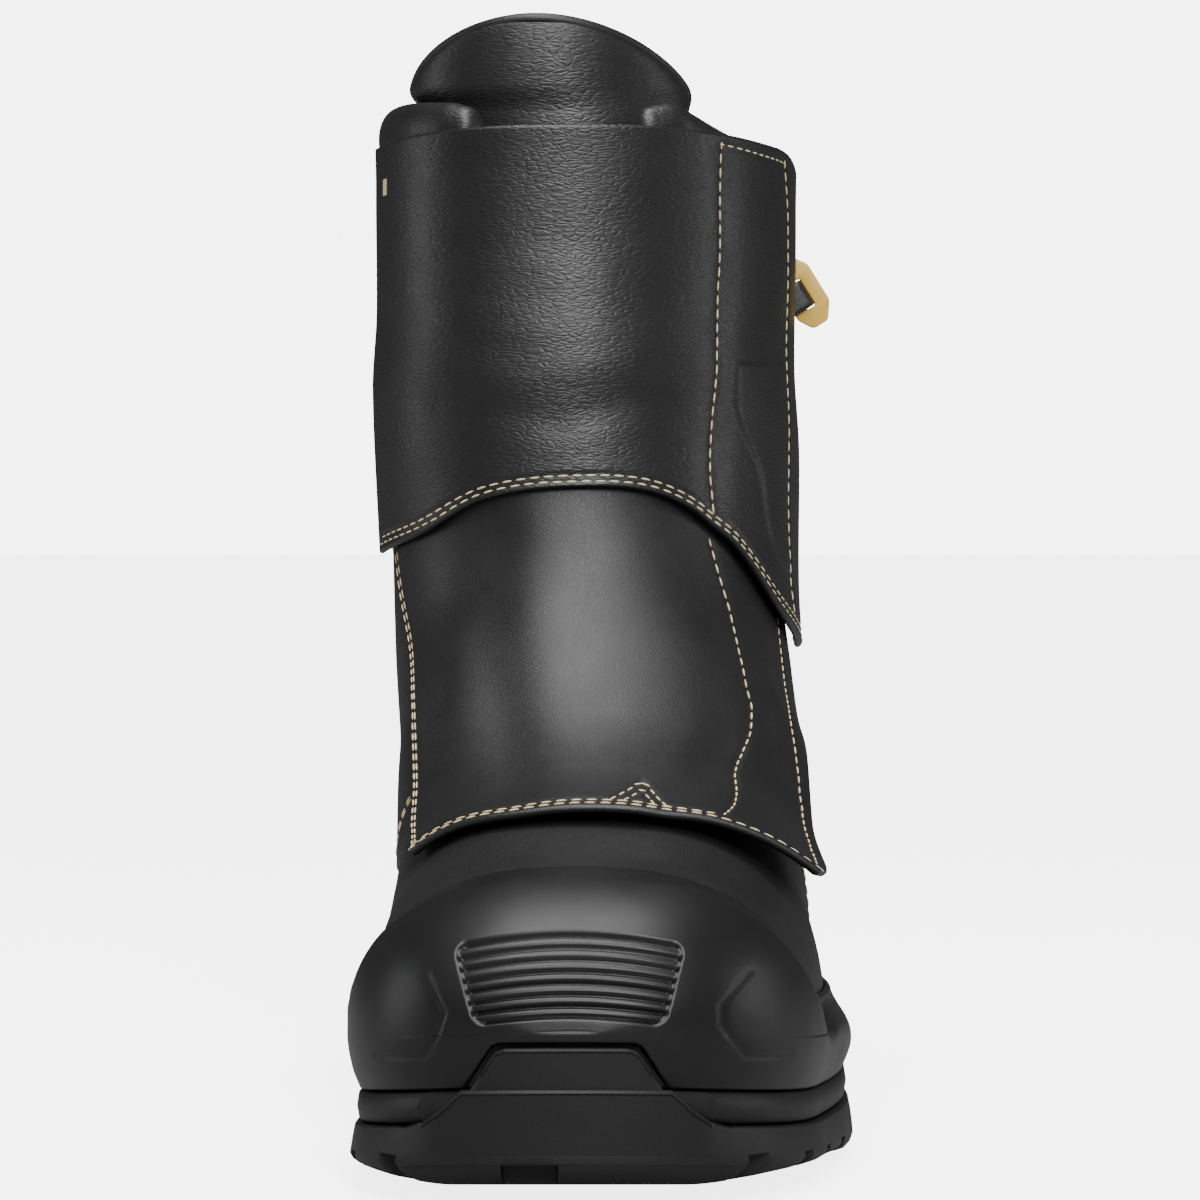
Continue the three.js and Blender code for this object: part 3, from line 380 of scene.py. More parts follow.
def toe_wall(name, edge, root, out, columns, rows):
    """A wall along the toe under an edge, with a rounded upper rim."""
    reach = edge["across"][-1]
    across = np.linspace(-reach, reach, columns)
    rim = np.interp(np.abs(across), edge["across"], edge["height"])
    turn = np.linspace(0, math.pi / 2, 6)
    round_off = LIP_THICK / 2
    up = np.concatenate([np.linspace(0, 1, rows)[:-1], np.ones(len(turn))])
    lift = np.concatenate([np.zeros(rows - 1), round_off * (np.sin(turn) - 1)])
    tuck = np.concatenate([np.zeros(rows - 1), round_off * (1 - np.cos(turn))])
    fade = 1 - ease(0.75 * reach, reach, np.abs(across))
    x = (toe_middle + across)[:, None] + 0 * up
    height = mix(root, rim[:, None], up) + lift
    outset = np.where(up > 0, mix(-0.3, out, up), 0)
    outset = mix(-1.3 * up, outset, fade[:, None]) - tuck
    outer_y = toe_edge(x, outset)
    inner_y = toe_edge(x, -LIP_THICK + tuck)
    outer = np.stack([x, outer_y, underside(outer_y) + height], -1)
    inner = np.stack([x, inner_y, underside(inner_y) + height], -1)
    return shell(name, outer, inner)


lip = toe_wall("outsole_lip", LIP_EDGE, LIP_ROOT, LIP_OUT, 161, 22)
tab = toe_wall("outsole_tab", TAB_EDGE, BED_BALL - 2, TAB_OUT, 121, 16)


def join(name, parts):
    """Several objects as one mesh."""
    bm = bmesh.new()
    for part in parts:
        bm.from_mesh(part.data)
        bpy.data.objects.remove(part)
    mesh = bpy.data.meshes.new(name)
    bm.to_mesh(mesh)
    bm.free()
    mesh.polygons.foreach_set("use_smooth", [True] * len(mesh.polygons))
    obj = bpy.data.objects.new(name, mesh)
    bpy.context.scene.collection.objects.link(obj)
    return obj


LUG_BEVEL = 0.45
bevel = outsole.modifiers.new("bevel", "BEVEL")
bevel.width = LUG_BEVEL * MM
bevel.segments = 2
bevel.limit_method = "ANGLE"
bevel.angle_limit = math.radians(38)
bake(outsole)
# At the sides of the toe the tread curves up
CURVE_UP = 4.0
CURVE_DEEP = 8.0
CURVE_BESIDE = (26, 56)
CURVE_ALONG = (-90, -35)
tread = np.array([v.co for v in outsole.data.vertices]) / MM - ORIGIN
beside = np.abs(tread[:, 0] - plan_centre(share_of(tread[:, 1])))
deep = np.clip(1 - (tread[:, 2] - underside(tread[:, 1])) / CURVE_DEEP, 0, 1)
tread[:, 2] += CURVE_UP * ease(*CURVE_BESIDE, beside) * (1 - ease(*CURVE_ALONG, tread[:, 1])) * deep
outsole.data.vertices.foreach_set("co", ((tread + ORIGIN) * MM).ravel())
outsole = join("outsole_rubber", [outsole, lip, tab])
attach(outsole, "root")
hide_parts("outsole")

# The midsole: one band of moulded polyurethane foam between the outsole and the boot, set back a little.
MIDSOLE_INSET = 2.2
GAP = 0.3


def tread_top(y):
    return underside(y) + OUTSOLE_SIDE


midsole = stack("midsole_body", OUTLINE, [
    (-MIDSOLE_INSET - 1.2, lambda y: tread_top(y) + GAP),
    (-MIDSOLE_INSET, lambda y: tread_top(y) + 1.0),
    (-MIDSOLE_INSET + 0.5, lambda y: (tread_top(y) + bed(y)) / 2),
    (-MIDSOLE_INSET, lambda y: bed(y) - 0.8),
    (-MIDSOLE_INSET - 1.2, bed),
])
# The lip of the outsole takes the front of the band's place
ROOM_HALF = 0.33 * BALL_WIDTH
room_across = np.linspace(-ROOM_HALF, ROOM_HALF, 41)
room_outset = mix(-LIP_THICK - GAP, -1.0, ease(0.24, 0.32, np.abs(room_across) / BALL_WIDTH))
room = list(zip(toe_middle + room_across, toe_edge(toe_middle + room_across, room_outset)))
room += [(toe_middle + x, TOE_Y - BALL_WIDTH) for x in (ROOM_HALF, -ROOM_HALF)]
cut(midsole, [prism("lip_room", room, LIP_ROOT, TAB_TOP + TOE_SPRING)])
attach(midsole, "root")
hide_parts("midsole")

# The upper: vamp, quarters and shaft of full-grain cow leather about 2.6 mm thick, cut in panels, lasted and
# cemented to the sole. It is open at the collar and down the throat, where the tongue lies behind it.
UPPER_INSET = 3.6
UPPER_LENGTH = SOLE_LENGTH - 2 * UPPER_INSET
TOE_HEIGHT = 77.0
BALL_HEIGHT = 88.0
INSTEP_HEIGHT = 142.0
SHAFT_TOP = 246.0
SHAFT_DEPTH = 139.0
SHAFT_WIDTH = 103.0
WALL = 2.6
NOSE_END = 0.2
NOSE_HEIGHT = 38.0
CROWN_ROUND = 2.0
WALL_ROUND = 5.0
LASTED_LOW = 23.0
LASTED_HIGH = 50.0
THROAT_HALF = 20.0
THROAT_LOW = 0.43

SECTIONS = table("at front rise low over back deep plan centre ridge half wide level crown base", [
    (0.0, 0.0, 0.93, 0.1, TOE_HEIGHT, 0.0, 0.0, 1.0, -0.062, 0.0, 0.39, BALL_WIDTH, 0.42, 2.5, 4.0),
    (0.1, 0.076, 0.97, 0.1, TOE_HEIGHT, 0.076, 0.0, 1.0, -0.044, -0.01, 0.405, BALL_WIDTH, 0.42, 2.5, 4.0),
    (0.2, 0.153, 1.0, 0.1, TOE_HEIGHT, 0.153, 0.0, 1.0, -0.028, -0.02, 0.426, BALL_WIDTH, 0.42, 2.45, 4.0),
    (0.3, 0.233, 0.955, 0.09, BALL_HEIGHT, 0.24, 0.0, 1.0, -0.004, -0.045, 0.44, BALL_WIDTH, 0.4, 2.35, 4.0),
    (0.38, 0.305, 1.04, 0.09, BALL_HEIGHT, 0.335, 0.0, 0.6, 0.01, -0.055, 0.458, BALL_WIDTH, 0.36, 2.3, 3.6),
    (0.46, 0.375, 0.735, 0.05, INSTEP_HEIGHT, 0.46, 0.0, 0.0, 0.008, -0.1, 0.441, BALL_WIDTH, 0.5, 2.2, 2.6),
    (0.54, 0.435, 0.87, 0.03, INSTEP_HEIGHT, 0.64, 0, 0, -0.002, -0.115, 0.435, BALL_WIDTH, 0.62, 2.2, 1.8),
    (0.62, 0.474, 1.0, 0.03, INSTEP_HEIGHT, 0.87, 0.0, 0.0, -0.018, -0.13, 0.58, HEEL_WIDTH, 0.62, 2.2, 1.8),
    (0.68, 0.49, 1.11, 0.3, INSTEP_HEIGHT, 1.0, 0.0, 0.0, -0.035, -0.15, 0.583, HEEL_WIDTH, 0.58, 2.2, 1.9),
    (0.76, 0.497, 0.735, 0.4, SHAFT_TOP, 0.497, 1.025, 0.0, -0.045, -0.14, 0.49, SHAFT_WIDTH, 0.51, 2.2, 2.1),
    (0.84, 0.5, 0.835, 0.66, SHAFT_TOP, 0.5, 0.985, 0.0, -0.05, -0.147, 0.498, SHAFT_WIDTH, 0.5, 2.2, 2.2),
    (0.92, 0.503, 0.925, 0.86, SHAFT_TOP, 0.503, 0.985, 0, -0.05, -0.147, 0.505, SHAFT_WIDTH, 0.5, 2.2, 2.2),
    (1.0, 0.506, 1.0, 1.0, SHAFT_TOP, 0.506, 1.0, 0.0, -0.05, -0.147, 0.505, SHAFT_WIDTH, 0.5, 2.2, 2.2),
    (1.2, 0.512, 1.2, 1.2, SHAFT_TOP, 0.512, 1.0, 0.0, -0.05, -0.147, 0.505, SHAFT_WIDTH, 0.5, 2.2, 2.2),
])
section = {name: follow(SECTIONS["at"], values) for name, values in {
    "front_y": TOE_Y + UPPER_INSET + SECTIONS["front"] * UPPER_LENGTH,
    "front_z": SECTIONS["rise"] * SECTIONS["over"],
    "back_y": TOE_Y + UPPER_INSET + SECTIONS["back"] * UPPER_LENGTH + SECTIONS["deep"] * SHAFT_DEPTH,
    "back_z": SECTIONS["low"] * SECTIONS["over"],
    "plan": SECTIONS["plan"],
    "centre": SECTIONS["centre"] * SECTIONS["wide"],
    "ridge": SECTIONS["ridge"] * SECTIONS["wide"],
    "half": SECTIONS["half"] * SECTIONS["wide"],
    "level": SECTIONS["level"],
    "crown": SECTIONS["crown"],
    "base": SECTIONS["base"],
}.items()}


def drawn_in(x, y, z, side):
    """Near the foot bed the upper is drawn in to the sole's outline."""
    centre = plan_centre(share_of(y))
    over = np.maximum(np.abs(x - centre) - plan_half(y, side - UPPER_INSET), 0)
    free = ease(LASTED_LOW, LASTED_HIGH, z - bed(y))
    return x - np.sign(x - centre) * over * (1 - free)


def upper_point(at, turn, side, top=None):
    """A place on the last's form: turn is 90 degrees in front, 0 on the outer side, 180 on the inner side."""
    at, turn, side = np.broadcast_arrays(*(np.asarray(value, float) for value in (at, turn, side)))
    top = side if top is None else top
    lead = -side * np.maximum(0, 1 - at / NOSE_END)
    crown_grow = round_end(at, NOSE_END, CROWN_ROUND)
    wall_grow = round_end(at, NOSE_END, WALL_ROUND)
    front_y = section["front_y"](at) + lead
    front_z = mix(NOSE_HEIGHT, section["front_z"](at), crown_grow)
    back_y = section["back_y"](at) + lead
    back_z = mix(NOSE_HEIGHT, section["back_z"](at), wall_grow)
    long = np.maximum(np.hypot(front_y - back_y, front_z - back_z), 1e-6)
    on_plan = np.clip(section["plan"](at), 0, 1)
    half = mix(section["half"](at) + side, plan_half(back_y, side - UPPER_INSET), on_plan)
    level = section["level"](at) * long
    above = np.maximum(long - level + top * crown_grow, 0)
    below = level + side * (1 - on_plan)
    c, s = np.cos(turn), np.sin(turn)
    power = np.where(s >= 0, section["crown"](at), section["base"](at))
    place = level + np.sign(s) * np.abs(s) ** (2 / power) * np.where(s >= 0, above, below)
    x = section["centre"](at) + section["ridge"](at) * (place - level) / long
    x = x + np.sign(c) * np.abs(c) ** (2 / power) * half
    y = back_y + (front_y - back_y) / long * place
    z = back_z + (front_z - back_z) / long * place
    return np.stack([drawn_in(x, y, z, side), y, z], -1)


def turn_for(at, reach, side):
    """The turn at which the upper is a given distance from its front line."""
    half = section["half"](at) + side
    share = np.minimum(np.abs(reach) / half, 1) ** (section["crown"](at) / 2)
    return math.pi / 2 - np.sign(reach) * np.arcsin(share)


def normals(points, outward=1):
    """Outward directions of a grid of points; outward is -1 where the grid's own order faces inwards."""
    along_u = np.gradient(points, axis=0)
    along_v = np.gradient(points, axis=1)
    normal = np.cross(along_u, along_v) * outward
    return normal / np.maximum(np.linalg.norm(normal, axis=-1, keepdims=True), 1e-9)


def shell_parts(outer, inner, keep):
    """Corners and faces of a sheet between two grids: the kept cells, and a rim round what is left out."""
    nu, nv = outer.shape[:2]
    count = nu * nv
    faces = grid_faces(nu, nv)[keep.reshape(-1)]
    edges = np.concatenate([faces[:, [i, (i + 1) % 4]] for i in range(4)])
    key = np.sort(edges, axis=1)
    _, first, times = np.unique(key[:, 0] * count + key[:, 1], return_index=True, return_counts=True)
    rim = edges[first[times == 1]]
    wall = np.stack([rim[:, 1], rim[:, 0], rim[:, 0] + count, rim[:, 1] + count], -1)
    return np.concatenate([outer.reshape(-1, 3), inner.reshape(-1, 3)]), faces, faces[:, ::-1] + count, wall


def low_turn(at, away, side):
    """How far a section can be followed down one side before it goes under the foot bed."""
    near = np.zeros_like(at)
    far = np.full_like(at, math.pi / 2)
    lowest = upper_point(at, -math.pi / 2, side)
    closed = lowest[..., 2] >= bed(lowest[..., 1]) + GAP
    for _ in range(HALVINGS):
        middle = (near + far) / 2
        turn = -middle if away > 0 else math.pi + middle
        p = upper_point(at, turn, side)
        above = p[..., 2] > bed(p[..., 1]) + GAP
        near = np.where(above, middle, near)
        far = np.where(above, far, middle)
    reach = np.where(closed, math.pi / 2, near)
    return -reach if away > 0 else math.pi + reach


UPPER_ROWS = np.concatenate([
    NOSE_END * (1 - np.cos(math.pi / 2 * np.arange(28) / 28)),
    np.linspace(NOSE_END, THROAT_LOW, 26)[:-1],
    np.linspace(THROAT_LOW, 1, 90),
])
SIDE_COLUMNS = 84
FRONT_COLUMNS = 28
side_step = np.linspace(0, 1, SIDE_COLUMNS + 1)
front_step = np.linspace(0, 1, FRONT_COLUMNS + 1)[1:-1]


def upper_turns(side):
    at = UPPER_ROWS
    left = turn_for(at, -THROAT_HALF, 0)[:, None]
    right = turn_for(at, THROAT_HALF, 0)[:, None]
    low_left = low_turn(at, -1, side)[:, None]
    low_right = low_turn(at, 1, side)[:, None]
    return np.concatenate([
        mix(low_left, left, side_step), mix(left, right, front_step), mix(right, low_right, side_step),
    ], axis=1)


# The top line dips towards the outer side: across from the middle, as a share of the shaft's width
TOP_DIP = table("at drop", [(0.20, 0), (0.28, 5), (0.36, 9), (0.46, 12), (0.70, 13)])
dip_row = follow(TOP_DIP["at"], TOP_DIP["drop"])
DIP_START = 0.8


def top_drop(x):
    return dip_row(x / SHAFT_WIDTH)


def dipped(points, at):
    """The upper's points moved down so that its top edge follows the dip."""
    share = np.clip((at - DIP_START) / (1 - DIP_START), 0, 1) ** 2
    points[..., 2] -= share * top_drop(points[..., 0])
    return points


upper_outer = dipped(upper_point(UPPER_ROWS[:, None], upper_turns(0), 0), UPPER_ROWS[:, None])
# Panels lie on each other: the vamp lowest, then the quarters, then the heel counter and the back strip
PANEL_STEP = 0.7
BACK_STRIP = 11.0
COUNTER_TOP = 92.0
COUNTER_DROP = 26.0
COUNTER_FRONT = 78.0
COUNTER_BACK = 128.0
QUARTER_Y = -34.0
QUARTER_Z = 95.0
QUARTER_SLOPE = 0.45


def quarter_front(z):
    """Where the quarters' front edge runs down each side."""
    return QUARTER_Y + QUARTER_SLOPE * (QUARTER_Z - z)


def counter_edge(y):
    """The curved top of the heel counter."""
    return COUNTER_TOP - COUNTER_DROP * (1 - ease(COUNTER_FRONT, COUNTER_BACK, y))


out = normals(upper_outer)
if out[len(UPPER_ROWS) // 2, 2, 0] * upper_outer[len(UPPER_ROWS) // 2, 2, 0] < 0:
    out = -out
x, y, z = upper_outer[..., 0], upper_outer[..., 1], upper_outer[..., 2]
heel_middle = section["centre"](1.0)
on_counter = ease(-0.8, 0.8, counter_edge(y) - z) * ease(COUNTER_FRONT - 0.8, COUNTER_FRONT + 0.8, y)
on_strip = ease(-0.8, 0.8, BACK_STRIP - np.abs(x - heel_middle)) * ease(60, 70, y)
on_quarter = ease(-1, 1, y - quarter_front(z))
lower = PANEL_STEP * (1 - np.maximum(on_counter, on_strip)) + PANEL_STEP * (1 - on_quarter)
upper_outer = upper_outer - out * lower[..., None]
upper_inner = dipped(upper_point(UPPER_ROWS[:, None], upper_turns(-WALL), -WALL), UPPER_ROWS[:, None])
columns = upper_outer.shape[1]
keep = np.ones((len(UPPER_ROWS) - 1, columns - 1), bool)
keep[UPPER_ROWS[:-1] >= THROAT_LOW - 1e-6, SIDE_COLUMNS:columns - 1 - SIDE_COLUMNS] = False
points, outside, inside, wall = shell_parts(upper_outer, upper_inner, keep)
# Where the two sides meet at the back of the heel there is no rim
row_start = wall[:, 0] // columns * columns
seam_gap = np.linalg.norm(points[row_start] - points[row_start + columns - 1], axis=1)
at_seam = np.isin(wall[:, 0] % columns, (0, columns - 1)) & np.isin(wall[:, 1] % columns, (0, columns - 1))
wall = wall[~(at_seam & (seam_gap < MERGE))]
lined = np.repeat([0, 1, 0], [len(outside), len(inside), len(wall)])
upper = make("upper_leather", points, np.concatenate([outside, inside, wall]), lined)
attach(upper, "root")
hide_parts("upper")

# The toe guard: a rand moulded from satin polyurethane round the whole foot, cemented over the lower edge of
# the upper. Over the toe it rises to a crease, and in front it has a pocket of seven ribs.
GUARD_BULGE = 0.6
GUARD_TOP = 1.5
GUARD_WIDEST = 12.5
RAND = table("height outset", [
    (0.3, -2.4),
    (5.0, -0.6),
    (GUARD_WIDEST, GUARD_BULGE),
    (17.0, -0.4),
    (20.0, -2.0),
    (21.2, -3.2),
])
rand_outset = follow(RAND["height"], RAND["outset"])
CREASE = table("along height", [
    (0.000, 6.00 * TOE_HEIGHT),
    (0.134, 1.60 * TOE_HEIGHT),
    (0.138, 0.94 * TOE_HEIGHT),
    (0.150, 0.83 * TOE_HEIGHT),
    (0.178, 0.69 * TOE_HEIGHT),
    (0.205, 0.57 * TOE_HEIGHT),
    (0.230, 0.49 * TOE_HEIGHT),
    (0.265, 0.44 * TOE_HEIGHT),
    (0.500, 0.44 * TOE_HEIGHT),
])
RIB_COUNT = 7
RIB_PITCH = 2.55
RIB_SLOT = 1.0
POCKET_LEVEL = 0.52
POCKET_HALF = 26.5
POCKET_FOOT = 21.5
POCKET_ARCH = 2.6
POCKET_DEPTH = 1.7
pocket_middle = float(plan_centre(0.03))
pocket_top = mix(float(bed(TOE_Y)), TOE_HEIGHT, POCKET_LEVEL) + (RIB_COUNT * RIB_PITCH + RIB_SLOT) / 2
pocket_arch = POCKET_ARCH / ((POCKET_HALF + POCKET_FOOT) / 2) ** 2

# The dome over the toe, as a height over the ground plan
crown_at = np.linspace(0, 0.5, 400)
crown = upper_point(crown_at, math.pi / 2, UPPER_INSET + GUARD_BULGE, GUARD_TOP)


def dome(x, y):
    """Height of the guard's face over the toe."""
    top = np.interp(y, crown[:, 1], crown[:, 2])
    at = np.interp(y, crown[:, 1], crown_at)
    low = bed(y) + GUARD_WIDEST
    half = np.maximum(plan_half(y, GUARD_BULGE), 1e-6)
    middle = plan_centre(share_of(y))
    lean = section["centre"](at) + section["ridge"](at) * (1 - section["level"](at)) - middle
    power = section["crown"](at)
    rise = np.zeros_like(y)
    for _ in range(4):
        t = np.clip(np.abs(x - middle - lean * rise) / half, 0, 1)
        rise = (1 - t**power) ** (1 / power)
    return low + (top - low) * rise


TOE_STATION = 0.10
SIDE_STATION = 0.24
guard_half = np.concatenate([
    np.linspace(0, TOE_STATION, 72)[:-1],
    np.linspace(TOE_STATION, SIDE_STATION, 42)[:-1],
    np.linspace(SIDE_STATION, 1, 70),
])
guard_stations = np.concatenate([-guard_half[1:][::-1], guard_half])
RAND_LOW = np.linspace(RAND["height"][0], GUARD_WIDEST, 26)
RAND_HIGH = 96
DOME_END = -76.0
RAND_START = -97.0
RAND_FULL = -84.0

wide_x, wide_y = around(guard_stations, np.full(len(guard_stations), GUARD_BULGE))
pole = np.array([float(plan_centre(share_of(DOME_END))), DOME_END])
# Each column runs over the dome from the widest line towards a pole behind the crease, and ends at the crease
DENSE = 700
reach = np.linspace(0, 1, DENSE) ** 1.8
dense_x = mix(wide_x[:, None], pole[0], reach)
dense_y = mix(np.minimum(wide_y, DOME_END - 1)[:, None], pole[1], reach)
dense_z = dome(dense_x, dense_y)
crease_z = np.interp(share_of(dense_y), CREASE["along"], CREASE["height"])
over = dense_z > crease_z
last = np.where(over.any(axis=1), np.argmax(over, axis=1), DENSE - 1)
last = np.maximum(last, 3)
arch_z = dense_z + pocket_arch * (dense_x - pocket_middle) ** 2
below_ribs = pocket_top - RIB_COUNT * RIB_PITCH - 2.5
POCKET_ROWS = np.concatenate([
    np.linspace(41.5, below_ribs, 8)[:-1], np.linspace(below_ribs, pocket_top + 1.5, 66),
])
CROWN_ROWS = RAND_HIGH - len(POCKET_ROWS)
dome_points = np.zeros((len(guard_stations), RAND_HIGH, 3))
for i in range(len(guard_stations)):
    n = last[i] + 1
    rising = np.maximum.accumulate(arch_z[i, :n]) + np.arange(n) * 1e-7
    ends = np.array([rising[0], rising[-1]])
    share = (POCKET_ROWS - POCKET_ROWS[0]) / (pocket_top + 14 - POCKET_ROWS[0])
    free = float(ease(30, 42, abs(wide_x[i] - pocket_middle)))
    fits = np.clip(POCKET_ROWS, rising[0] + (POCKET_ROWS - POCKET_ROWS[0]) * 1e-3 + 0.01, None)
    rows = mix(fits, ends[0] + (ends[1] - ends[0]) * share, free)
    rows = np.minimum(rows, ends[1] - (ends[1] - ends[0]) * 0.02 * (1 - share))
    pocket_index = np.interp(rows, rising, np.arange(n))
    crown_index = np.linspace(pocket_index[-1], n - 1, CROWN_ROWS + 1)[1:]
    index = np.concatenate([pocket_index, crown_index])
    dome_points[i, :, 0] = np.interp(index, np.arange(n), dense_x[i, :n])
    dome_points[i, :, 1] = np.interp(index, np.arange(n), dense_y[i, :n])
    dome_points[i, :, 2] = np.interp(index, np.arange(n), dense_z[i, :n])

rand_heights = mix(GUARD_WIDEST, RAND["height"][-1], np.linspace(0, 1, RAND_HIGH + 1)[1:])


def rand_points(heights):
    x, y = around(guard_stations[:, None], rand_outset(heights)[None, :])
    return np.stack([x, y, bed(y) + heights], -1)


on_rand = ease(RAND_START, RAND_FULL, wide_y)[:, None, None]
guard_top = mix(dome_points, rand_points(rand_heights), on_rand)
guard_face = np.concatenate([rand_points(RAND_LOW), guard_top], axis=1)
guard_out = normals(guard_face)
if guard_out[len(guard_stations) // 2, 4, 1] > 0:
    guard_out = -guard_out
from_rim = np.linalg.norm(guard_face - guard_face[:, -1:], axis=-1)
face_x, face_y, face_z = guard_face[..., 0], guard_face[..., 1], guard_face[..., 2]
in_front = 1 - ease(-118, -108, face_y)

# The pocket: seven ribs between eight slots, sunk a little below the face
rib_z = face_z + pocket_arch * (face_x - pocket_middle) ** 2
rib_low = pocket_top - RIB_COUNT * RIB_PITCH - RIB_SLOT
rib_half = mix(POCKET_FOOT, POCKET_HALF, np.clip((rib_z - rib_low) / (pocket_top - rib_low), -0.2, 1.2))
in_slot = np.abs((pocket_top - RIB_SLOT / 2 - rib_z + RIB_PITCH / 2) % RIB_PITCH - RIB_PITCH / 2)
from_side = rib_half - np.abs(face_x - pocket_middle)
from_ends = np.minimum(pocket_top - rib_z, rib_z - rib_low)
POCKET_CORNER = 3.0
POCKET_SUNK = 0.5
corner = np.hypot(np.maximum(POCKET_CORNER - from_side, 0), np.maximum(POCKET_CORNER - from_ends, 0))
inside = POCKET_CORNER - corner
ribs = POCKET_SUNK * ease(-0.2, 0.3, inside)
ribs = ribs + (POCKET_DEPTH - POCKET_SUNK) * ease(-0.1, 0.9, inside) * (1 - ease(0.30, 0.65, in_slot))


def fine_line(corners, x, z, width):
    """How near each place is to a line drawn through corners in the front view: 1 on the line."""
    near = np.full(np.shape(x), 1e3)
    for (ax, az), (bx, bz) in zip(corners[:-1], corners[1:]):
        run = np.clip(((x - ax) * (bx - ax) + (z - az) * (bz - az)) / ((bx - ax) ** 2 + (bz - az) ** 2), 0, 1)
        near = np.minimum(near, np.hypot(x - ax - run * (bx - ax), z - az - run * (bz - az)))
    return np.exp(-(near / width) ** 2)


# A shallow recess at each side of the pocket, and room for the outsole's tab
INNER_RECESS = [(-51.5, 33.5), (-40.2, 34.5), (-37.6, 38.5), (-35.3, 45.0), (-39.5, 53.0)]
OUTER_RECESS = [(34.4, 53.2), (27.7, 46.5), (27.7, 42.0), (33.6, 34.0), (43.9, 32.6)]
RECESS_DEEP = 0.35
RECESS_WIDE = 0.7
inner_recess, outer_recess = (
    fine_line(corners, face_x, face_z, RECESS_WIDE) for corners in (INNER_RECESS, OUTER_RECESS)
)
recess = RECESS_DEEP * (inner_recess + outer_recess)
TAB_ROOM = 0.8
tab_rim = np.interp(np.abs(face_x - toe_middle) - TAB_ROOM, TAB_EDGE["across"], TAB_EDGE["height"])
in_tab = ease(-0.25, 0.25, tab_rim + TAB_ROOM - (face_z - underside(face_y)))
in_tab = in_tab * (1 - ease(23.4, 24.4, np.abs(face_x - toe_middle)))
tab_face = toe_edge(face_x, -LIP_THICK - GAP)
GUARD_THICK = 1.2
guard_inner = guard_face - guard_out * GUARD_THICK
guard_outer = guard_face - guard_out * (in_front * (ribs + recess))[..., None]
guard_outer[..., 1] = mix(guard_outer[..., 1], np.maximum(guard_outer[..., 1], tab_face), in_front * in_tab)
guard_inner[..., 1] = np.maximum(guard_inner[..., 1], guard_outer[..., 1] + in_front * 0.6 * in_tab)
guard_inner = guard_inner - guard_out * (in_front * 1.4 * ease(-4, -1, inside))[..., None]

# The upper edge is feathered onto the leather
RIM_REACH = 7.0
RIM_SLOPE = 2.2
RIM_THICK = 1.3
RIM_ROUND = 1.2
leather = BVHTree.FromObject(upper, bpy.context.evaluated_depsgraph_get())
rim_spots = [Vector((spot + ORIGIN) * MM) for spot in guard_face[:, -1]]
rim_reach = RIM_REACH + RIM_SLOPE * np.array([leather.find_nearest(spot)[3] for spot in rim_spots]) / MM
for i, j in np.argwhere(from_rim < rim_reach[:, None]):
    spot = Vector((guard_face[i, j] + ORIGIN) * MM)
    found, facing, _, _ = leather.find_nearest(spot)
    foot = np.array(found) / MM - ORIGIN
    away = guard_face[i, j] - foot
    gap = np.linalg.norm(away)
    away = away / max(gap, 1e-6)
    fade = 1 - float(ease(0, rim_reach[i], from_rim[i, j]))
    edge = math.sqrt(max(0.0, 1 - (1 - min(from_rim[i, j] / RIM_ROUND, 1)) ** 2))
    thick = min(gap, RIM_THICK) * mix(0.25, 1, edge)
    guard_inner[i, j] = mix(guard_inner[i, j], foot + away * GAP, fade)
    guard_outer[i, j] = mix(guard_outer[i, j], foot + away * (GAP + thick), fade)
guard = shell("toe_guard_moulding", guard_outer, guard_inner)
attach(guard, "root")
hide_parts("toe_guard")

# The insole: a moulded foam footbed under a thin cloth, laid in on the midsole.
INSOLE_THICK = 4.0
INSOLE_INSET = UPPER_INSET + WALL + 1
footbed = stack("insole_pad", OUTLINE, [
    (-INSOLE_INSET - out, lambda y, lift=lift: bed(y) + GAP + lift)
    for out, lift in ((1.2, 0.0), (0.3, 0.4), (0.0, 1.2), (0.0, 2.8), (0.3, 3.6), (1.2, INSOLE_THICK))
])
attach(footbed, "root")
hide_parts("insole")

# The tongue: a tall pad of foam between soft leather, sewn in behind the throat, domed at the top and bound.
TONGUE_RISE = 38.8
DOME_HEIGHT = 26.0
DOME_POWER = 1.9
DOME_THIN = 0.62
TONGUE_INSET = WALL + 4 * GAP
TONGUE_ROWS = table("at half set lean thick", [
    (0.46, 0.245, 0.0, 0.0, 4.5),
    (0.60, 0.265, 0.0, 0.0, 5.0),
    (0.80, 0.300, 0.0, 0.0, 6.0),
    (0.90, 0.330, 3.0, -0.3, 7.0),
    (0.97, 0.340, 15.0, -0.6, 8.0),
    (1.06, 0.348, 17.0, -0.8, 8.5),
    (1.09, 0.408, 16.0, -3.9, 8.5),
    (1.20, 0.402, 14.0, -4.6, 7.5),
])
tongue_half = follow(TONGUE_ROWS["at"], TONGUE_ROWS["half"] * SHAFT_WIDTH)
tongue_set = follow(TONGUE_ROWS["at"], TONGUE_ROWS["set"])
tongue_lean = follow(TONGUE_ROWS["at"], TONGUE_ROWS["lean"])
tongue_thick = follow(TONGUE_ROWS["at"], TONGUE_ROWS["thick"])
TONGUE_END = 1 + TONGUE_RISE / SHAFT_TOP
across = np.sin(np.linspace(-1, 1, 101) * math.pi / 2)[:, None]
along = 1 - (1 - np.linspace(0, 1, 181)[None, :]) ** 1.6
at = mix(TONGUE_ROWS["at"][0], TONGUE_END, along)
dome_share = round_end((TONGUE_END - at) * SHAFT_TOP + 0.02, DOME_HEIGHT, DOME_POWER)
half_thick = tongue_thick(at) * mix(DOME_THIN, 1, dome_share) / 2
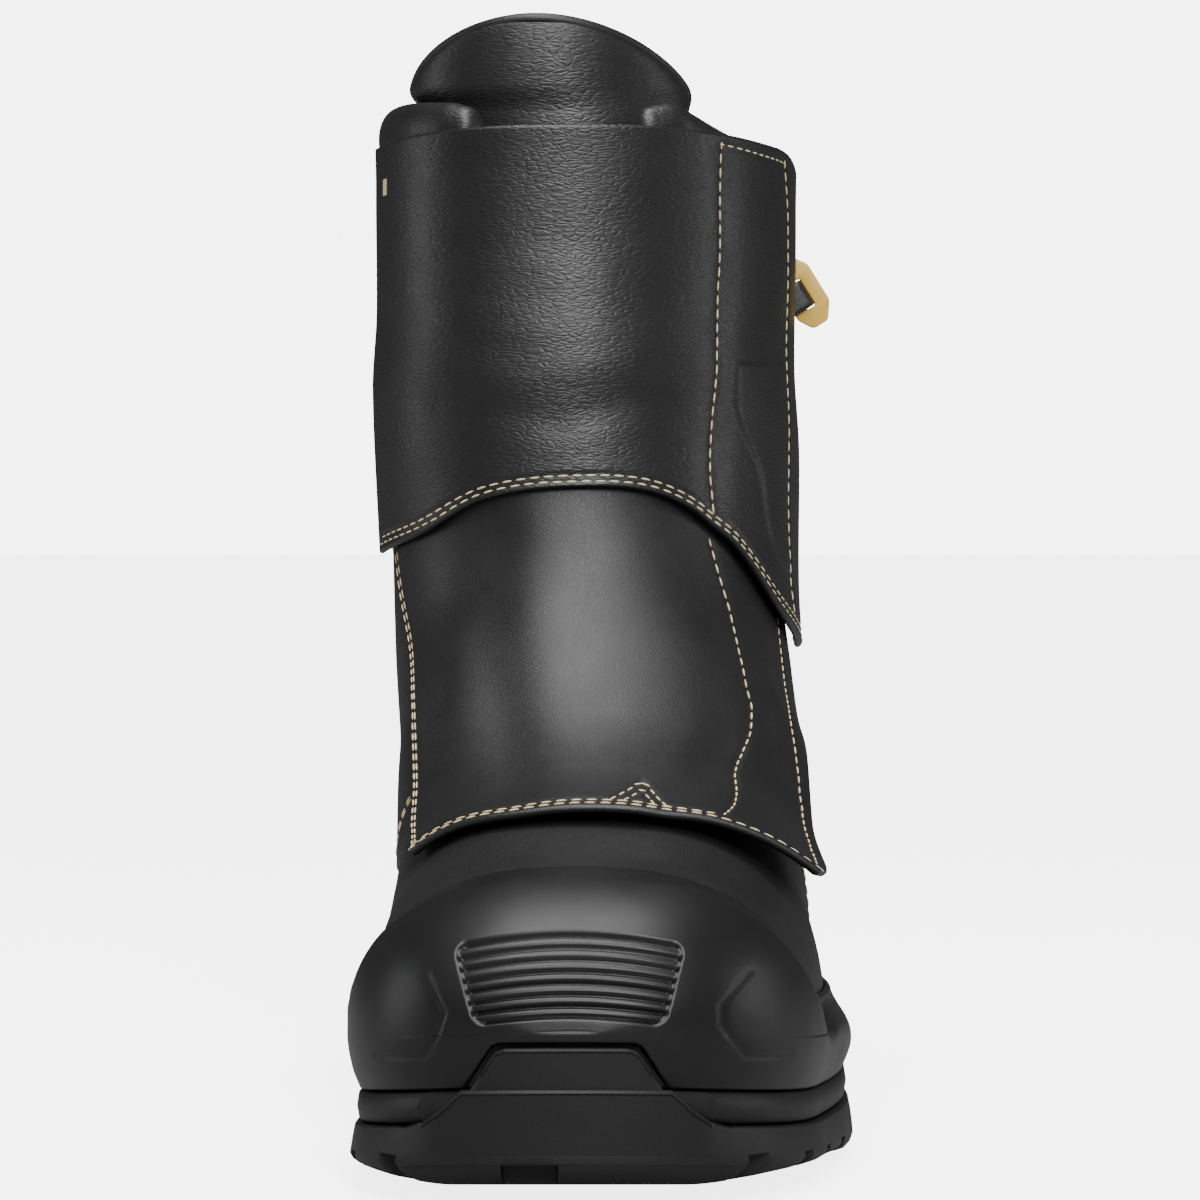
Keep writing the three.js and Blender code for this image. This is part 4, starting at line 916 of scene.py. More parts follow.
pillow = (1 - np.abs(across) ** 7) ** 0.5 * np.clip(dome_share, 0, 1) ** 0.5
depth = TONGUE_INSET + half_thick
edge = math.pi / 2 - turn_for(at, tongue_half(at) * dome_share, -TONGUE_INSET)
turn = math.pi / 2 - edge * across
set_back = np.stack(np.broadcast_arrays(tongue_lean(at), tongue_set(at), 0 * at), -1)
front_face = upper_point(at, turn, -depth + half_thick * pillow) + set_back
back_face = upper_point(at, turn, -depth - half_thick * pillow) + set_back
tongue = shell("tongue_pad", front_face, back_face)
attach(tongue, "root")
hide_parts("tongue")
# Its rim is bound with a folded tape
BINDING_RADIUS = 1.5
BINDING_LOW = 1.05
bound = np.argmax(at[0] > BINDING_LOW)
rim_line = (front_face + back_face) / 2
rim_line = np.concatenate([rim_line[0, bound:], rim_line[-1, bound:-1][::-1]])

# The collar: a foam roll under soft leather round the top of the shaft, its ends turned in beside the tongue.
COLLAR_HEIGHT = 17.0
COLLAR_THICK = 12.0
COLLAR_PROUD = 0.8
COLLAR_CURL = 4.5
COLLAR_GAP = 23.0
COLLAR_SQUARE = 0.95
COLLAR_ENDS = table("place full curl", [
    (0.000, 0.30, 1.00),
    (0.010, 0.70, 0.90),
    (0.038, 0.90, 0.72),
    (0.077, 0.97, 0.40),
    (0.115, 1.00, 0.15),
    (0.160, 1.00, 0.00),
])
collar_end = math.pi / 2 - float(turn_for(1.0, COLLAR_GAP, 0))
COLLAR_STEPS = 260
place = np.linspace(0, 1, COLLAR_STEPS + 1)
turn = mix(math.pi / 2 - collar_end, -1.5 * math.pi + collar_end, place)
from_end = np.minimum(place, 1 - place)
full = np.interp(from_end, COLLAR_ENDS["place"], COLLAR_ENDS["full"])
curl = np.interp(from_end, COLLAR_ENDS["place"], COLLAR_ENDS["curl"])
full = full * round_end(from_end + 1e-4, 0.02, 2.0)
angle = np.linspace(0, 2 * math.pi, 48, endpoint=False)
out = np.sign(np.cos(angle)) * np.abs(np.cos(angle)) ** COLLAR_SQUARE * COLLAR_THICK / 2
up = np.sign(np.sin(angle)) * np.abs(np.sin(angle)) ** COLLAR_SQUARE * COLLAR_HEIGHT / 2
middle = (COLLAR_THICK / 2 - COLLAR_PROUD + curl * COLLAR_CURL)[:, None]
roll = upper_point(np.ones_like(out)[None, :], turn[:, None], out[None, :] * full[:, None] - middle)
wall_x = upper_point(1.0, turn, 0)[:, :1] - WALL
roll[..., 2] = SHAFT_TOP - top_drop(wall_x) + 2 * GAP + COLLAR_HEIGHT / 2 + up[None, :] * full[:, None]
n = len(angle)
faces = grid_faces(COLLAR_STEPS + 1, n, wrap_v=True).tolist()
faces += [list(range(n)), [COLLAR_STEPS * n + i for i in range(n)][::-1]]
collar = make("collar_pad", roll, faces)
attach(collar, "root")
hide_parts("collar")

# The instep flap: one piece of smooth leather from the toe guard to under the shaft flap, sewn down on the
# inner side. Its lower outer corner stands free.
FLAP_THICK = 2.2
INSTEP_END = 0.775
INSTEP_ROWS = table("at start low high off", [
    (0.00, 0.345, 137, 152, 0.0),
    (0.15, 0.325, 122, 134, 0.0),
    (0.35, 0.303, 102, 108, 0.3),
    (0.55, 0.300, 80, 76, 0.8),
    (0.75, 0.310, 60, 42, 2.2),
    (0.90, 0.318, 43, 16, 4.6),
    (1.00, 0.322, 32, 0, 6.8),
])
instep_start = follow(INSTEP_ROWS["at"], INSTEP_ROWS["start"])
instep_low = follow(INSTEP_ROWS["at"], np.radians(INSTEP_ROWS["low"]))
instep_high = follow(INSTEP_ROWS["at"], np.radians(INSTEP_ROWS["high"]))
instep_off = follow(INSTEP_ROWS["at"], INSTEP_ROWS["off"])


def instep_form(across, along, out):
    at = mix(instep_start(across), INSTEP_END, along)
    turn = mix(instep_low(across), instep_high(across), along)
    off = instep_off(across) * (1 - along) ** 1.3
    return upper_point(at, turn, 2 * GAP + off + out * FLAP_THICK)


def spread(count, size, edge):
    """Places from 0 to 1, with a few close to each end for a rounded edge."""
    near = np.array([0, 0.08, 0.25, 0.5, 0.8, 1.1]) * edge / size
    return np.concatenate([near, np.linspace(near[-1], 1 - near[-1], count)[1:-1], (1 - near)[::-1]])


def flap(name, form, width, height, columns, rows, relief):
    """A sheet of leather with rounded edges, bent as its form says, with soft creases from relief."""
    half = FLAP_THICK / 2
    across = spread(columns, width, half)[:, None]
    along = spread(rows, height, half)[None, :]
    across, along = np.broadcast_arrays(across, along)
    middle = form(across, along, 0.5)
    out = normals(middle)
    if np.sum(out * (form(across, along, 1.0) - middle)) < 0:
        out = -out
    middle = middle + out * relief(middle, across * width, along * height)[..., None]
    to_edge = np.minimum(np.minimum(across, 1 - across) * width, np.minimum(along, 1 - along) * height)
    swell = half * np.sqrt(np.clip(1 - (1 - np.clip(to_edge / half, 0, 1)) ** 2, 0, 1))
    return shell(name, middle + out * swell[..., None], middle - out * swell[..., None])


INSTEP_WIDE = 150
INSTEP_TALL = 110
SEAM_PRESS = 0.35
SEAM_EDGE = 2.0
SEAM_SPACE = 1.7
INSTEP_STRIP = [(0.745, 0.05), (0.773, 0.26), (0.817, 0.395), (0.82, 0.45), (0.79, 0.54), (0.757, 0.675),
                (0.733, 0.75), (0.72, 0.80)]
INSTEP_OUTER = [(0.972, 0.05), (0.95, 0.15), (0.96, 0.315), (0.945, 0.415), (0.93, 0.52), (0.925, 0.65),
                (0.92, 0.80)]
CHEVRONS = [
    [(0.500, 0.045), (0.548, 0.135), (0.600, 0.045)],
    [(0.524, 0.045), (0.550, 0.095), (0.576, 0.045)],
]


def inside_row(start, end, out, tall, wide):
    """A seam along the lower edge of a flap, out millimetres above it."""
    return [(place, out / tall) for place in np.linspace(start + out / wide, end - out / wide, 40)]


instep_seams = [
    inside_row(0, 1, SEAM_EDGE, INSTEP_TALL, INSTEP_WIDE),
    inside_row(0, 0.74, SEAM_EDGE + SEAM_SPACE, INSTEP_TALL, INSTEP_WIDE),
    [(SEAM_EDGE / INSTEP_WIDE, 0.03), (SEAM_EDGE / INSTEP_WIDE, 0.86)],
    [((SEAM_EDGE + SEAM_SPACE) / INSTEP_WIDE, 0.05), ((SEAM_EDGE + SEAM_SPACE) / INSTEP_WIDE, 0.86)],
    INSTEP_STRIP,
    INSTEP_OUTER,
    *CHEVRONS,
]


def pressed(seams, across, along, wide, tall):
    """How deep the thread pulls the leather in along its seams."""
    depth = np.zeros(np.shape(across))
    for seam in seams:
        corners = [(a * wide, b * tall) for a, b in seam]
        depth = np.maximum(depth, fine_line(corners, across, along, 0.9))
    return SEAM_PRESS * depth


def creased(creases, middle):
    """Soft ridges and troughs. Each has its height, its width, and its line across and up from in front."""
    return sum(high * fine_line(line, middle[..., 0], middle[..., 2], wide) for high, wide, line in creases)


# The hollow down the inner side, a ridge beside it, the sharp fold by the outer corner, the pull of the seam
INSTEP_CREASES = (
    (-1.3, 9.0, [(-31, 148), (-27, 120), (-22, 95)]),
    (0.6, 14.0, [(-12, 150), (-9, 122), (-4, 96)]),
    (0.8, 1.7, [(41, 116), (44, 107), (46.6, 96), (47.4, 89)]),
    (-0.6, 3.0, [(38, 112), (41, 100), (43, 90)]),
    (-0.5, 5.0, [(30, 100), (22, 90), (16, 86)]),
)


def instep_relief(middle, across, along):
    return creased(INSTEP_CREASES, middle) - pressed(instep_seams, across, along, INSTEP_WIDE, INSTEP_TALL)


instep_flap = flap("instep_flap_leather", instep_form, INSTEP_WIDE, INSTEP_TALL, 210, 160, instep_relief)
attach(instep_flap, "root")
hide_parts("instep_flap")

# The shaft flap: a broad leather guard round the front of the shaft. It overlaps the instep flap and is held
# on the outer side by a sewn strip with a hidden fastening.
SHAFT_ROWS = table("at turn low high off", [
    (0.00, 153, 0.593, 1.024, 0.0),
    (0.12, 131, 0.614, 1.032, 0.1),
    (0.28, 108, 0.652, 1.038, 0.2),
    (0.44, 84, 0.664, 1.040, 0.4),
    (0.56, 65, 0.654, 1.040, 0.8),
    (0.70, 45, 0.606, 1.036, 1.2),
    (0.82, 26, 0.535, 1.030, 1.6),
    (0.92, 8, 0.498, 1.024, 1.9),
    (1.00, -8, 0.486, 1.008, 2.0),
])
SHAFT_STAND = table("at off", [(0.0, 3.3), (0.4, 3.0), (0.6, 1.2), (0.9, 1.2), (1.0, 1.4)])
shaft_turn = follow(SHAFT_ROWS["at"], np.radians(SHAFT_ROWS["turn"]))
shaft_low = follow(SHAFT_ROWS["at"], SHAFT_ROWS["low"] * SHAFT_TOP)
shaft_high = follow(SHAFT_ROWS["at"], SHAFT_ROWS["high"] * SHAFT_TOP)
shaft_off = follow(SHAFT_ROWS["at"], SHAFT_ROWS["off"])
shaft_stand = follow(SHAFT_STAND["at"], SHAFT_STAND["off"])


def at_height(height, turn, side):
    """How far along the upper a given height lies, on a given turn."""
    low = np.full(np.shape(height), NOSE_END)
    high = np.full(np.shape(height), SECTIONS["at"][-1])
    for _ in range(26):
        middle = (low + high) / 2
        below = upper_point(middle, turn, side)[..., 2] < height
        low = np.where(below, middle, low)
        high = np.where(below, high, middle)
    return high


def shaft_form(across, along, out):
    turn = shaft_turn(across)
    height = mix(shaft_low(across), shaft_high(across), along)
    off = shaft_stand(along) + shaft_off(across) + out * FLAP_THICK
    return upper_point(at_height(height, turn, off), turn, off)


SHAFT_WIDE = 165
SHAFT_TALL = 108
SHAFT_STRIP = [(0.665, 0.05), (0.673, 0.18), (0.697, 0.395), (0.707, 0.545), (0.713, 0.72), (0.711, 0.84),
               (0.714, 0.972)]
SHAFT_OUTER = [(0.890, 0.05), (0.892, 0.135), (0.902, 0.375), (0.918, 0.56), (0.924, 0.72), (0.918, 0.88),
               (0.900, 0.972)]
shaft_seams = [
    inside_row(0, 1, SEAM_EDGE, SHAFT_TALL, SHAFT_WIDE),
    inside_row(0, 1, SEAM_EDGE + SEAM_SPACE, SHAFT_TALL, SHAFT_WIDE),
    SHAFT_STRIP,
    [(0.714, 0.972), (0.80, 0.972), (0.900, 0.972)],
    SHAFT_OUTER,
]
FASTENING_STEP = 0.7
FASTENING_TOP = 195.1
FASTENING = table("height edge", [
    (140, 47.5), (146, 45.0), (152, 43.0), (168, 40.4), (182, 34.6), (195, 34.4), (200, 34.4),
])
fastening_edge = follow(FASTENING["height"], FASTENING["edge"])
# Long shallow waves across the leather, and a trough where the strip begins
SHAFT_CREASES = (
    (0.35, 5.0, [(-46, 196), (-20, 191), (8, 196)]),
    (-0.4, 4.5, [(-40, 184), (-10, 180), (14, 186)]),
    (0.35, 6.0, [(-48, 214), (-22, 219), (0, 216)]),
    (-0.5, 3.0, [(28.5, 150), (29.5, 172), (31.5, 215), (32, 250)]),
)


def shaft_relief(middle, across, along):
    """The creases, the seams, and the hidden fastening that shows through the strip."""
    x, y, z = middle[..., 0], middle[..., 1], middle[..., 2]
    beyond = ease(-0.7, 0.7, x - fastening_edge(np.clip(z, 140, 200)))
    below = (1 - ease(-0.7, 0.7, z - FASTENING_TOP)) * ease(138, 144, z)
    fastening = FASTENING_STEP * beyond * below * (1 - ease(40, 60, y))
    thread_pull = pressed(shaft_seams, across, along, SHAFT_WIDE, SHAFT_TALL)
    return creased(SHAFT_CREASES, middle) + fastening - thread_pull


shaft_flap = flap("shaft_flap_leather", shaft_form, SHAFT_WIDE, SHAFT_TALL, 220, 165, shaft_relief)
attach(shaft_flap, "root")
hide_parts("shaft_flap")

# The quick-release tab: a plate moulded from hard yellow plastic, with a slot for its leather strap.
PULL_OUTLINE = [(5.3, -6.5), (5.3, 5), (2, 9.5), (-2.5, 9.5), (-5, 5.5), (-5, -5), (-2, -10.5), (2.5, -10.5)]
PULL_THICK = 3.0
PULL_SLOT = (1.3, 4.2)
PULL_BEVEL = 0.35
tilt = math.radians(32)
pull_turn = math.radians(-15.5)
pull_height = 0.876 * SHAFT_TOP
pull_middle = upper_point(at_height(pull_height, pull_turn, 0.0), pull_turn, 0.0) + np.array([8.0, 0, 0])
WIDE = np.array([math.cos(tilt), 0, math.sin(tilt)])
LONG = np.array([math.sin(tilt), 0, -math.cos(tilt)])


def plate(name, outlines, thick, bevel):
    """A plate from flat outlines, the first its rim and the others holes, with rounded edges."""
    curve = bpy.data.curves.new(name, "CURVE")
    curve.dimensions = "2D"
    curve.fill_mode = "BOTH"
    curve.extrude = (thick / 2 - bevel) * MM
    curve.bevel_depth = bevel * MM
    curve.bevel_resolution = 3
    curve.offset = -bevel * MM
    for outline in outlines:
        spline = curve.splines.new("POLY")
        spline.points.add(len(outline) - 1)
        spline.use_cyclic_u = True
        for point, (a, b) in zip(spline.points, outline):
            point.co = (a * MM, b * MM, 0, 1)
    obj = bpy.data.objects.new(name, curve)
    bpy.context.scene.collection.objects.link(obj)
    bake_curve = bpy.data.meshes.new_from_object(obj.evaluated_get(bpy.context.evaluated_depsgraph_get()))
    bpy.data.objects.remove(obj)
    bpy.data.curves.remove(curve)
    solid = bpy.data.objects.new(name, bake_curve)
    bpy.context.scene.collection.objects.link(solid)
    close(solid)
    return solid


def rounded(corners, radius, steps=5):
    """A flat outline with its corners cut round."""
    result = []
    n = len(corners)
    for i in range(n):
        before, here, after = (np.array(corners[j % n], float) for j in (i - 1, i, i + 1))
        one = here + (before - here) / np.linalg.norm(before - here) * radius
        two = here + (after - here) / np.linalg.norm(after - here) * radius
        for t in np.linspace(0, 1, steps):
            result.append(tuple((1 - t) ** 2 * one + 2 * t * (1 - t) * here + t * t * two))
    return result


slot_wide, slot_long = PULL_SLOT
slot_outline = [(a * slot_wide, b * slot_long) for a, b in ((-1, -1), (-1, 1), (1, 1), (1, -1))]
pull_outlines = [rounded(PULL_OUTLINE, 1.0), rounded(slot_outline, 0.5)]
pull_tab = plate("pull_tab_plastic", pull_outlines, PULL_THICK, PULL_BEVEL)
coordinates = np.array([v.co for v in pull_tab.data.vertices]) / MM
placed = coordinates[:, :1] * WIDE + coordinates[:, 1:2] * LONG + coordinates[:, 2:] * np.array([0, 1.0, 0])
pull_tab.data.vertices.foreach_set("co", ((placed + pull_middle + ORIGIN) * MM).ravel())
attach(pull_tab, "root")
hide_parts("pull_tab")

# Its strap: a strip of leather sewn to the shaft, looped through the slot and back on itself.
STRAP_THICK = 1.6
STRAP_END = math.radians(-38)
STRAP_DROP = 4.6
STRAP_HALF = 3.9
LOOP_REACH = 12.0
LOOP_TURN = PULL_THICK / 2 + GAP + STRAP_THICK / 2
bend = np.linspace(-math.pi / 2, math.pi / 2, 13)
loop = [(-LOOP_REACH, -LOOP_TURN), (-LOOP_REACH / 2, -LOOP_TURN)]
loop += [(LOOP_TURN * 0.45 * (math.cos(a) - 0.35), LOOP_TURN * math.sin(a)) for a in bend]
loop += [(-LOOP_REACH / 2, LOOP_TURN), (-LOOP_REACH, LOOP_TURN)]
loop = np.array(loop)
loop_line = np.array([pull_middle + a * WIDE + np.array([0, b, 0]) for a, b in loop])


def strip(name, line, side_way, half, thick):
    """A leather strip with rounded edges along a line of places, as wide as twice half along side_way."""
    run = np.gradient(line, axis=0)
    face = np.cross(run, side_way)
    face = face / np.linalg.norm(face, axis=1, keepdims=True)
    across = np.sin(np.linspace(-1, 1, 13) * math.pi / 2)
    edge = np.clip((1 - np.abs(across)) * half / (thick / 2), 0, 1)
    swell = thick / 2 * np.sqrt(1 - (1 - edge) ** 2)
    middle = line[:, None] + half * across[None, :, None] * side_way
    rise = face[:, None] * swell[None, :, None]
    return shell(name, middle + rise, middle - rise)


base_turn = np.linspace(pull_turn, STRAP_END, 30)
base_off = 2 * GAP + STRAP_THICK / 2
base_height = pull_height - STRAP_DROP
base_line = upper_point(at_height(base_height + 0 * base_turn, base_turn, base_off), base_turn, base_off)
strap = join("pull_strap_leather", [
    strip("strap_loop", loop_line, LONG, STRAP_HALF, STRAP_THICK),
    strip("strap_base", base_line, np.array([0, 0, 1.0]), STRAP_HALF, STRAP_THICK),
])
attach(strap, "root")
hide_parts("pull_strap")


def node(tree, kind, inputs=(), **settings):
    """One node with its settings, and its inputs as values or as sockets to link from."""
    item = tree.nodes.new(kind)
    for key, value in settings.items():
        setattr(item, key, value)
    for name, value in dict(inputs).items():
        if isinstance(value, bpy.types.NodeSocket):
            tree.links.new(value, item.inputs[name])
        else:
            item.inputs[name].default_value = value
    return item


# Leather grain: raised cells with creases between them, and fine pores on top
grain = bpy.data.node_groups.new("leather grain", "ShaderNodeTree")
for label, kind in (("Place", "Vector"), ("Cells", "Float"), ("Pores", "Float")):
    grain.interface.new_socket(label, in_out="INPUT", socket_type="NodeSocket" + kind)
grain.interface.new_socket("Height", in_out="OUTPUT", socket_type="NodeSocketFloat")
given = node(grain, "NodeGroupInput")
place = given.outputs["Place"]
DRIFT = 0.0022
drift = node(grain, "ShaderNodeTexNoise", {"Vector": place, "Scale": 260.0, "Detail": 2.0})
centred = node(grain, "ShaderNodeVectorMath", {0: drift.outputs["Color"], 1: (0.5, 0.5, 0.5)},
               operation="SUBTRACT")
shifted = node(grain, "ShaderNodeVectorMath", {0: centred.outputs[0], "Scale": DRIFT}, operation="SCALE")
warped = node(grain, "ShaderNodeVectorMath", {0: place, 1: shifted.outputs[0]}, operation="ADD")
cells = node(grain, "ShaderNodeTexVoronoi", {"Vector": warped.outputs[0], "Scale": given.outputs["Cells"]},
             feature="DISTANCE_TO_EDGE")
plateau = node(grain, "ShaderNodeMapRange", {
    "Value": cells.outputs["Distance"], "From Min": 0.0, "From Max": 0.26,
}, interpolation_type="SMOOTHERSTEP")
pores = node(grain, "ShaderNodeTexNoise", {"Vector": place, "Scale": given.outputs["Pores"], "Detail": 3.0})
pore_part = node(grain, "ShaderNodeMath", {0: pores.outputs["Fac"], 1: 0.45}, operation="MULTIPLY")
height = node(grain, "ShaderNodeMath", {0: plateau.outputs["Result"], 1: pore_part.outputs[0]},
              operation="ADD")
node(grain, "NodeGroupOutput", {"Height": height.outputs[0]})


def grey(level, cool=0.0):
    return (level, level, level + cool)


def place_of(tree, stretch=(1, 1, 1)):
    """The piece's own places in metres, stretched."""
    where = node(tree, "ShaderNodeTexCoord")
    mapped = node(tree, "ShaderNodeMapping", {"Vector": where.outputs["Object"], "Scale": stretch})
    return mapped.outputs["Vector"]


def noise(tree, place, scale, detail, rough=0.5):
    inputs = {"Vector": place, "Scale": scale, "Detail": detail, "Roughness": rough}
    return node(tree, "ShaderNodeTexNoise", inputs).outputs["Fac"]


def plain_finish(name, rough, specular, coat=0.0):
    material = bpy.data.materials.new(name)
    material.use_nodes = True
    shader = material.node_tree.nodes["Principled BSDF"]
    shader.inputs["Roughness"].default_value = rough
    shader.inputs["Coat Weight"].default_value = coat
    shader.inputs["Coat Roughness"].default_value = 0.35
    shader.inputs["Specular IOR Level"].default_value = specular
    return material, material.node_tree, shader


def finish(name, tones, patch, rough, specular=0.5, wander=None, coat=0.0):
    """A material whose colour wanders between two tones, and its roughness between two values."""
    material, tree, shader = plain_finish(name, rough[0], specular, coat)
    place = place_of(tree)
    blend = node(tree, "ShaderNodeMix", {"Factor": noise(tree, place, patch, 4.0)}, data_type="RGBA")
    for socket, tone in zip((6, 7), tones):
        blend.inputs[socket].default_value = (*tone, 1)
    tree.links.new(blend.outputs[2], shader.inputs["Base Color"])
    if wander is not None:
        value = node(tree, "ShaderNodeMapRange", {
            "Value": noise(tree, place, wander, 3.0), "From Min": 0.3, "From Max": 0.7,
            "To Min": rough[0], "To Max": rough[1],
        })
        tree.links.new(value.outputs["Result"], shader.inputs["Roughness"])
    return material, tree, shader, place


def bumped(tree, shader, height, strength, depth):
    """Fine relief by bump, depth metres deep."""
    bump = node(tree, "ShaderNodeBump", {"Height": height, "Strength": strength, "Distance": depth})
    tree.links.new(bump.outputs["Normal"], shader.inputs["Normal"])


def leather_finish(name, stretch, cells, pores, strength, rough):
    """Black leather with its grain: stretch makes the cells longer than they are high."""
    tones = (grey(0.0036, 0.0003), grey(0.0060, 0.0004))
    material, tree, shader, _ = finish(name, tones, 40.0, rough, wander=55.0)
    surface_height = node(tree, "ShaderNodeGroup", node_tree=grain)
    tree.links.new(place_of(tree, stretch), surface_height.inputs["Place"])
    surface_height.inputs["Cells"].default_value = cells
    surface_height.inputs["Pores"].default_value = pores
    bumped(tree, shader, surface_height.outputs["Height"], strength, 0.0003)
    return material


creased_leather = leather_finish("creased leather", (0.30, 0.30, 1.0), 1150.0, 3400.0, 0.22, (0.40, 0.48))
smooth_leather = leather_finish("fine grained leather", (1, 1, 1), 1900.0, 4200.0, 0.16, (0.42, 0.50))
upper_finish = leather_finish("upper leather", (1, 1, 1), 1600.0, 3800.0, 0.20, (0.44, 0.52))
soft_leather = leather_finish("padded leather", (0.30, 0.30, 1.0), 1000.0, 3400.0, 0.20, (0.40, 0.48))


def moulded_finish(name, dark, light, rough, scale, strength):
    """Moulded rubber or polyurethane: even, with the fine skin of its mould."""
    tones = (grey(dark, 0.0003), grey(light, 0.0003))
    material, tree, shader, place = finish(name, tones, 30.0, rough, specular=0.35, wander=60.0)
    bumped(tree, shader, noise(tree, place, scale, 4.0, 0.6), strength, 0.0002)
    return material


guard_finish = moulded_finish("satin moulding", 0.0045, 0.0065, (0.36, 0.42), 4200.0, 0.20)
sole_finish = moulded_finish("moulded sole", 0.0045, 0.0070, (0.46, 0.54), 3600.0, 0.25)
rubber_finish = moulded_finish("sole rubber", 0.0050, 0.0080, (0.48, 0.56), 3000.0, 0.30)

# Footbed: a thin knitted cloth over foam
tones = (grey(0.022, 0.002), grey(0.040, 0.003))
cloth, tree, shader, place = finish("footbed cloth", tones, 60.0, (0.85,), specular=0.3)
weaves = [
    node(tree, "ShaderNodeTexWave", {"Vector": place, "Scale": 160.0, "Distortion": 0.6}, bands_direction=way)
    for way in "XY"
]
weave = node(tree, "ShaderNodeMath", {i: weaves[i].outputs["Fac"] for i in (0, 1)}, operation="MAXIMUM")
bumped(tree, shader, weave.outputs[0], 0.5, 0.0004)

# Lining: brushed, matt and dark grey, glued inside the upper
tones = (grey(0.014, 0.001), grey(0.028, 0.002))
lining, tree, shader, place = finish("brushed lining", tones, 70.0, (0.9,), specular=0.2)
bumped(tree, shader, noise(tree, place, 1800.0, 5.0, 0.7), 0.6, 0.0006)

# Thread: twisted polyester, cream
tones = ((0.36, 0.28, 0.14), (0.66, 0.55, 0.33))
yarn, tree, shader, place = finish("cream thread", tones, 220.0, (0.6,))
twist = node(tree, "ShaderNodeTexWave", {"Vector": place, "Scale": 900.0, "Distortion": 1.0},
             bands_direction="DIAGONAL")
bumped(tree, shader, twist.outputs["Fac"], 0.5, 0.0001)

# Plastic: hard, golden yellow, slightly glossy, with a faint cloudiness from moulding
tones = ((0.46, 0.27, 0.025), (0.62, 0.40, 0.055))
plastic, tree, shader, place = finish("yellow plastic", tones, 90.0, (0.26, 0.38), wander=200.0, coat=0.15)
bumped(tree, shader, noise(tree, place, 2500.0, 3.0), 0.12, 0.0002)

for piece, material in (
    (outsole, rubber_finish), (midsole, sole_finish), (guard, guard_finish), (upper, upper_finish),
    (tongue, soft_leather), (collar, soft_leather), (instep_flap, smooth_leather),
    (shaft_flap, creased_leather), (footbed, cloth), (strap, smooth_leather), (pull_tab, plastic),
):
    finishes = np.zeros(len(piece.data.polygons), int)
    piece.data.polygons.foreach_get("material_index", finishes)
    piece.data.materials.clear()
    piece.data.materials.append(material)
    if piece is upper:
        piece.data.materials.append(lining)
        piece.data.polygons.foreach_set("material_index", finishes)


def path_tree(name):
    """A node tree that follows a mesh of lines. It is given a size and a finish."""
    tree = bpy.data.node_groups.new(name, "GeometryNodeTree")
    for label, kind in (("Lines", "Geometry"), ("Size", "Float"), ("Finish", "Material")):
        tree.interface.new_socket(label, in_out="INPUT", socket_type="NodeSocket" + kind)
    tree.interface.new_socket("Solid", in_out="OUTPUT", socket_type="NodeSocketGeometry")
    given = node(tree, "NodeGroupInput")
    path = node(tree, "GeometryNodeMeshToCurve", {"Mesh": given.outputs["Lines"]})
    return tree, given, path.outputs["Curve"]


def end_tree(tree, given, solid):
    coloured = node(tree, "GeometryNodeSetMaterial", {"Geometry": solid, "Material": given.outputs["Finish"]})
    node(tree, "NodeGroupOutput", {"Solid": coloured.outputs["Geometry"]})


def follow_lines(name, places, edges, tree, size, material, facings=()):
    """A piece that a node tree makes along lines through places in millimetres."""
    mesh = bpy.data.meshes.new(name)
    mesh.from_pydata(((np.array(places) + ORIGIN) * MM).tolist(), edges, [])
    if len(facings):
        out_values = mesh.attributes.new("out", "FLOAT_VECTOR", "POINT")
        out_values.data.foreach_set("vector", np.array(facings, float).ravel())
    obj = bpy.data.objects.new(name, mesh)
    bpy.context.scene.collection.objects.link(obj)
    modifier = obj.modifiers.new(name, "NODES")
    modifier.node_group = tree
    identifiers = [item.identifier for item in tree.interface.items_tree if item.in_out == "INPUT"]
    modifier[identifiers[1]] = size * MM
    modifier[identifiers[2]] = material
    bake(obj)
    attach(obj, "root")
    return obj


# The seams: cream thread sewn about seven stitches to the inch, each stitch sunk a little into the leather.
STITCH_PITCH = 3.6
STITCH_SIZE = (1.35, 0.27, 0.26)
SIGHT = 300
seam_corners, seam_edges, seam_out = [], [], []
surfaces = {}


def surface(obj):
    if obj.name not in surfaces:
        surfaces[obj.name] = BVHTree.FromObject(obj, bpy.context.evaluated_depsgraph_get())
    return surfaces[obj.name]


def sew(hits):
    """Adds one run of stitches where it meets the leather, with the way the leather faces there."""
    start = len(seam_corners)
    for found, facing, _, _ in hits:
        if found is not None:
            seam_corners.append(np.array(found) / MM - ORIGIN)
            seam_out.append(np.array(facing))
    seam_edges.extend([i, i + 1] for i in range(start, len(seam_corners) - 1))


def sew_on_flap(obj, form, seam):
    """Stitches along corners that are shares across and along a flap."""
    corners = np.array(seam)
    length = np.concatenate([[0], np.cumsum(np.hypot(*np.diff(corners, axis=0).T))])
    share = np.linspace(0, length[-1], 160)
    spots = form(np.interp(share, length, corners[:, 0]), np.interp(share, length, corners[:, 1]), 1.0)
    sew([surface(obj).find_nearest(Vector((spot + ORIGIN) * MM)) for spot in spots])


def sew_from(obj, sight, spots):
    """Stitches where lines of sight in one direction meet a piece."""
    starts = (np.array(spots) - np.array(sight) * SIGHT + ORIGIN) * MM
    sew([surface(obj).ray_cast(Vector(start), Vector(sight)) for start in starts])


for seam in instep_seams:
    sew_on_flap(instep_flap, instep_form, seam)
for seam in shaft_seams:
    sew_on_flap(shaft_flap, shaft_form, seam)
# The bartack that holds the shaft flap's inner top corner
BARTACK_LOW = 0.872
BARTACK_STEP = 0.0045
for place in BARTACK_LOW + BARTACK_STEP * np.arange(9):
    sew_on_flap(shaft_flap, shaft_form, [(0.044, place), (0.046, place)])
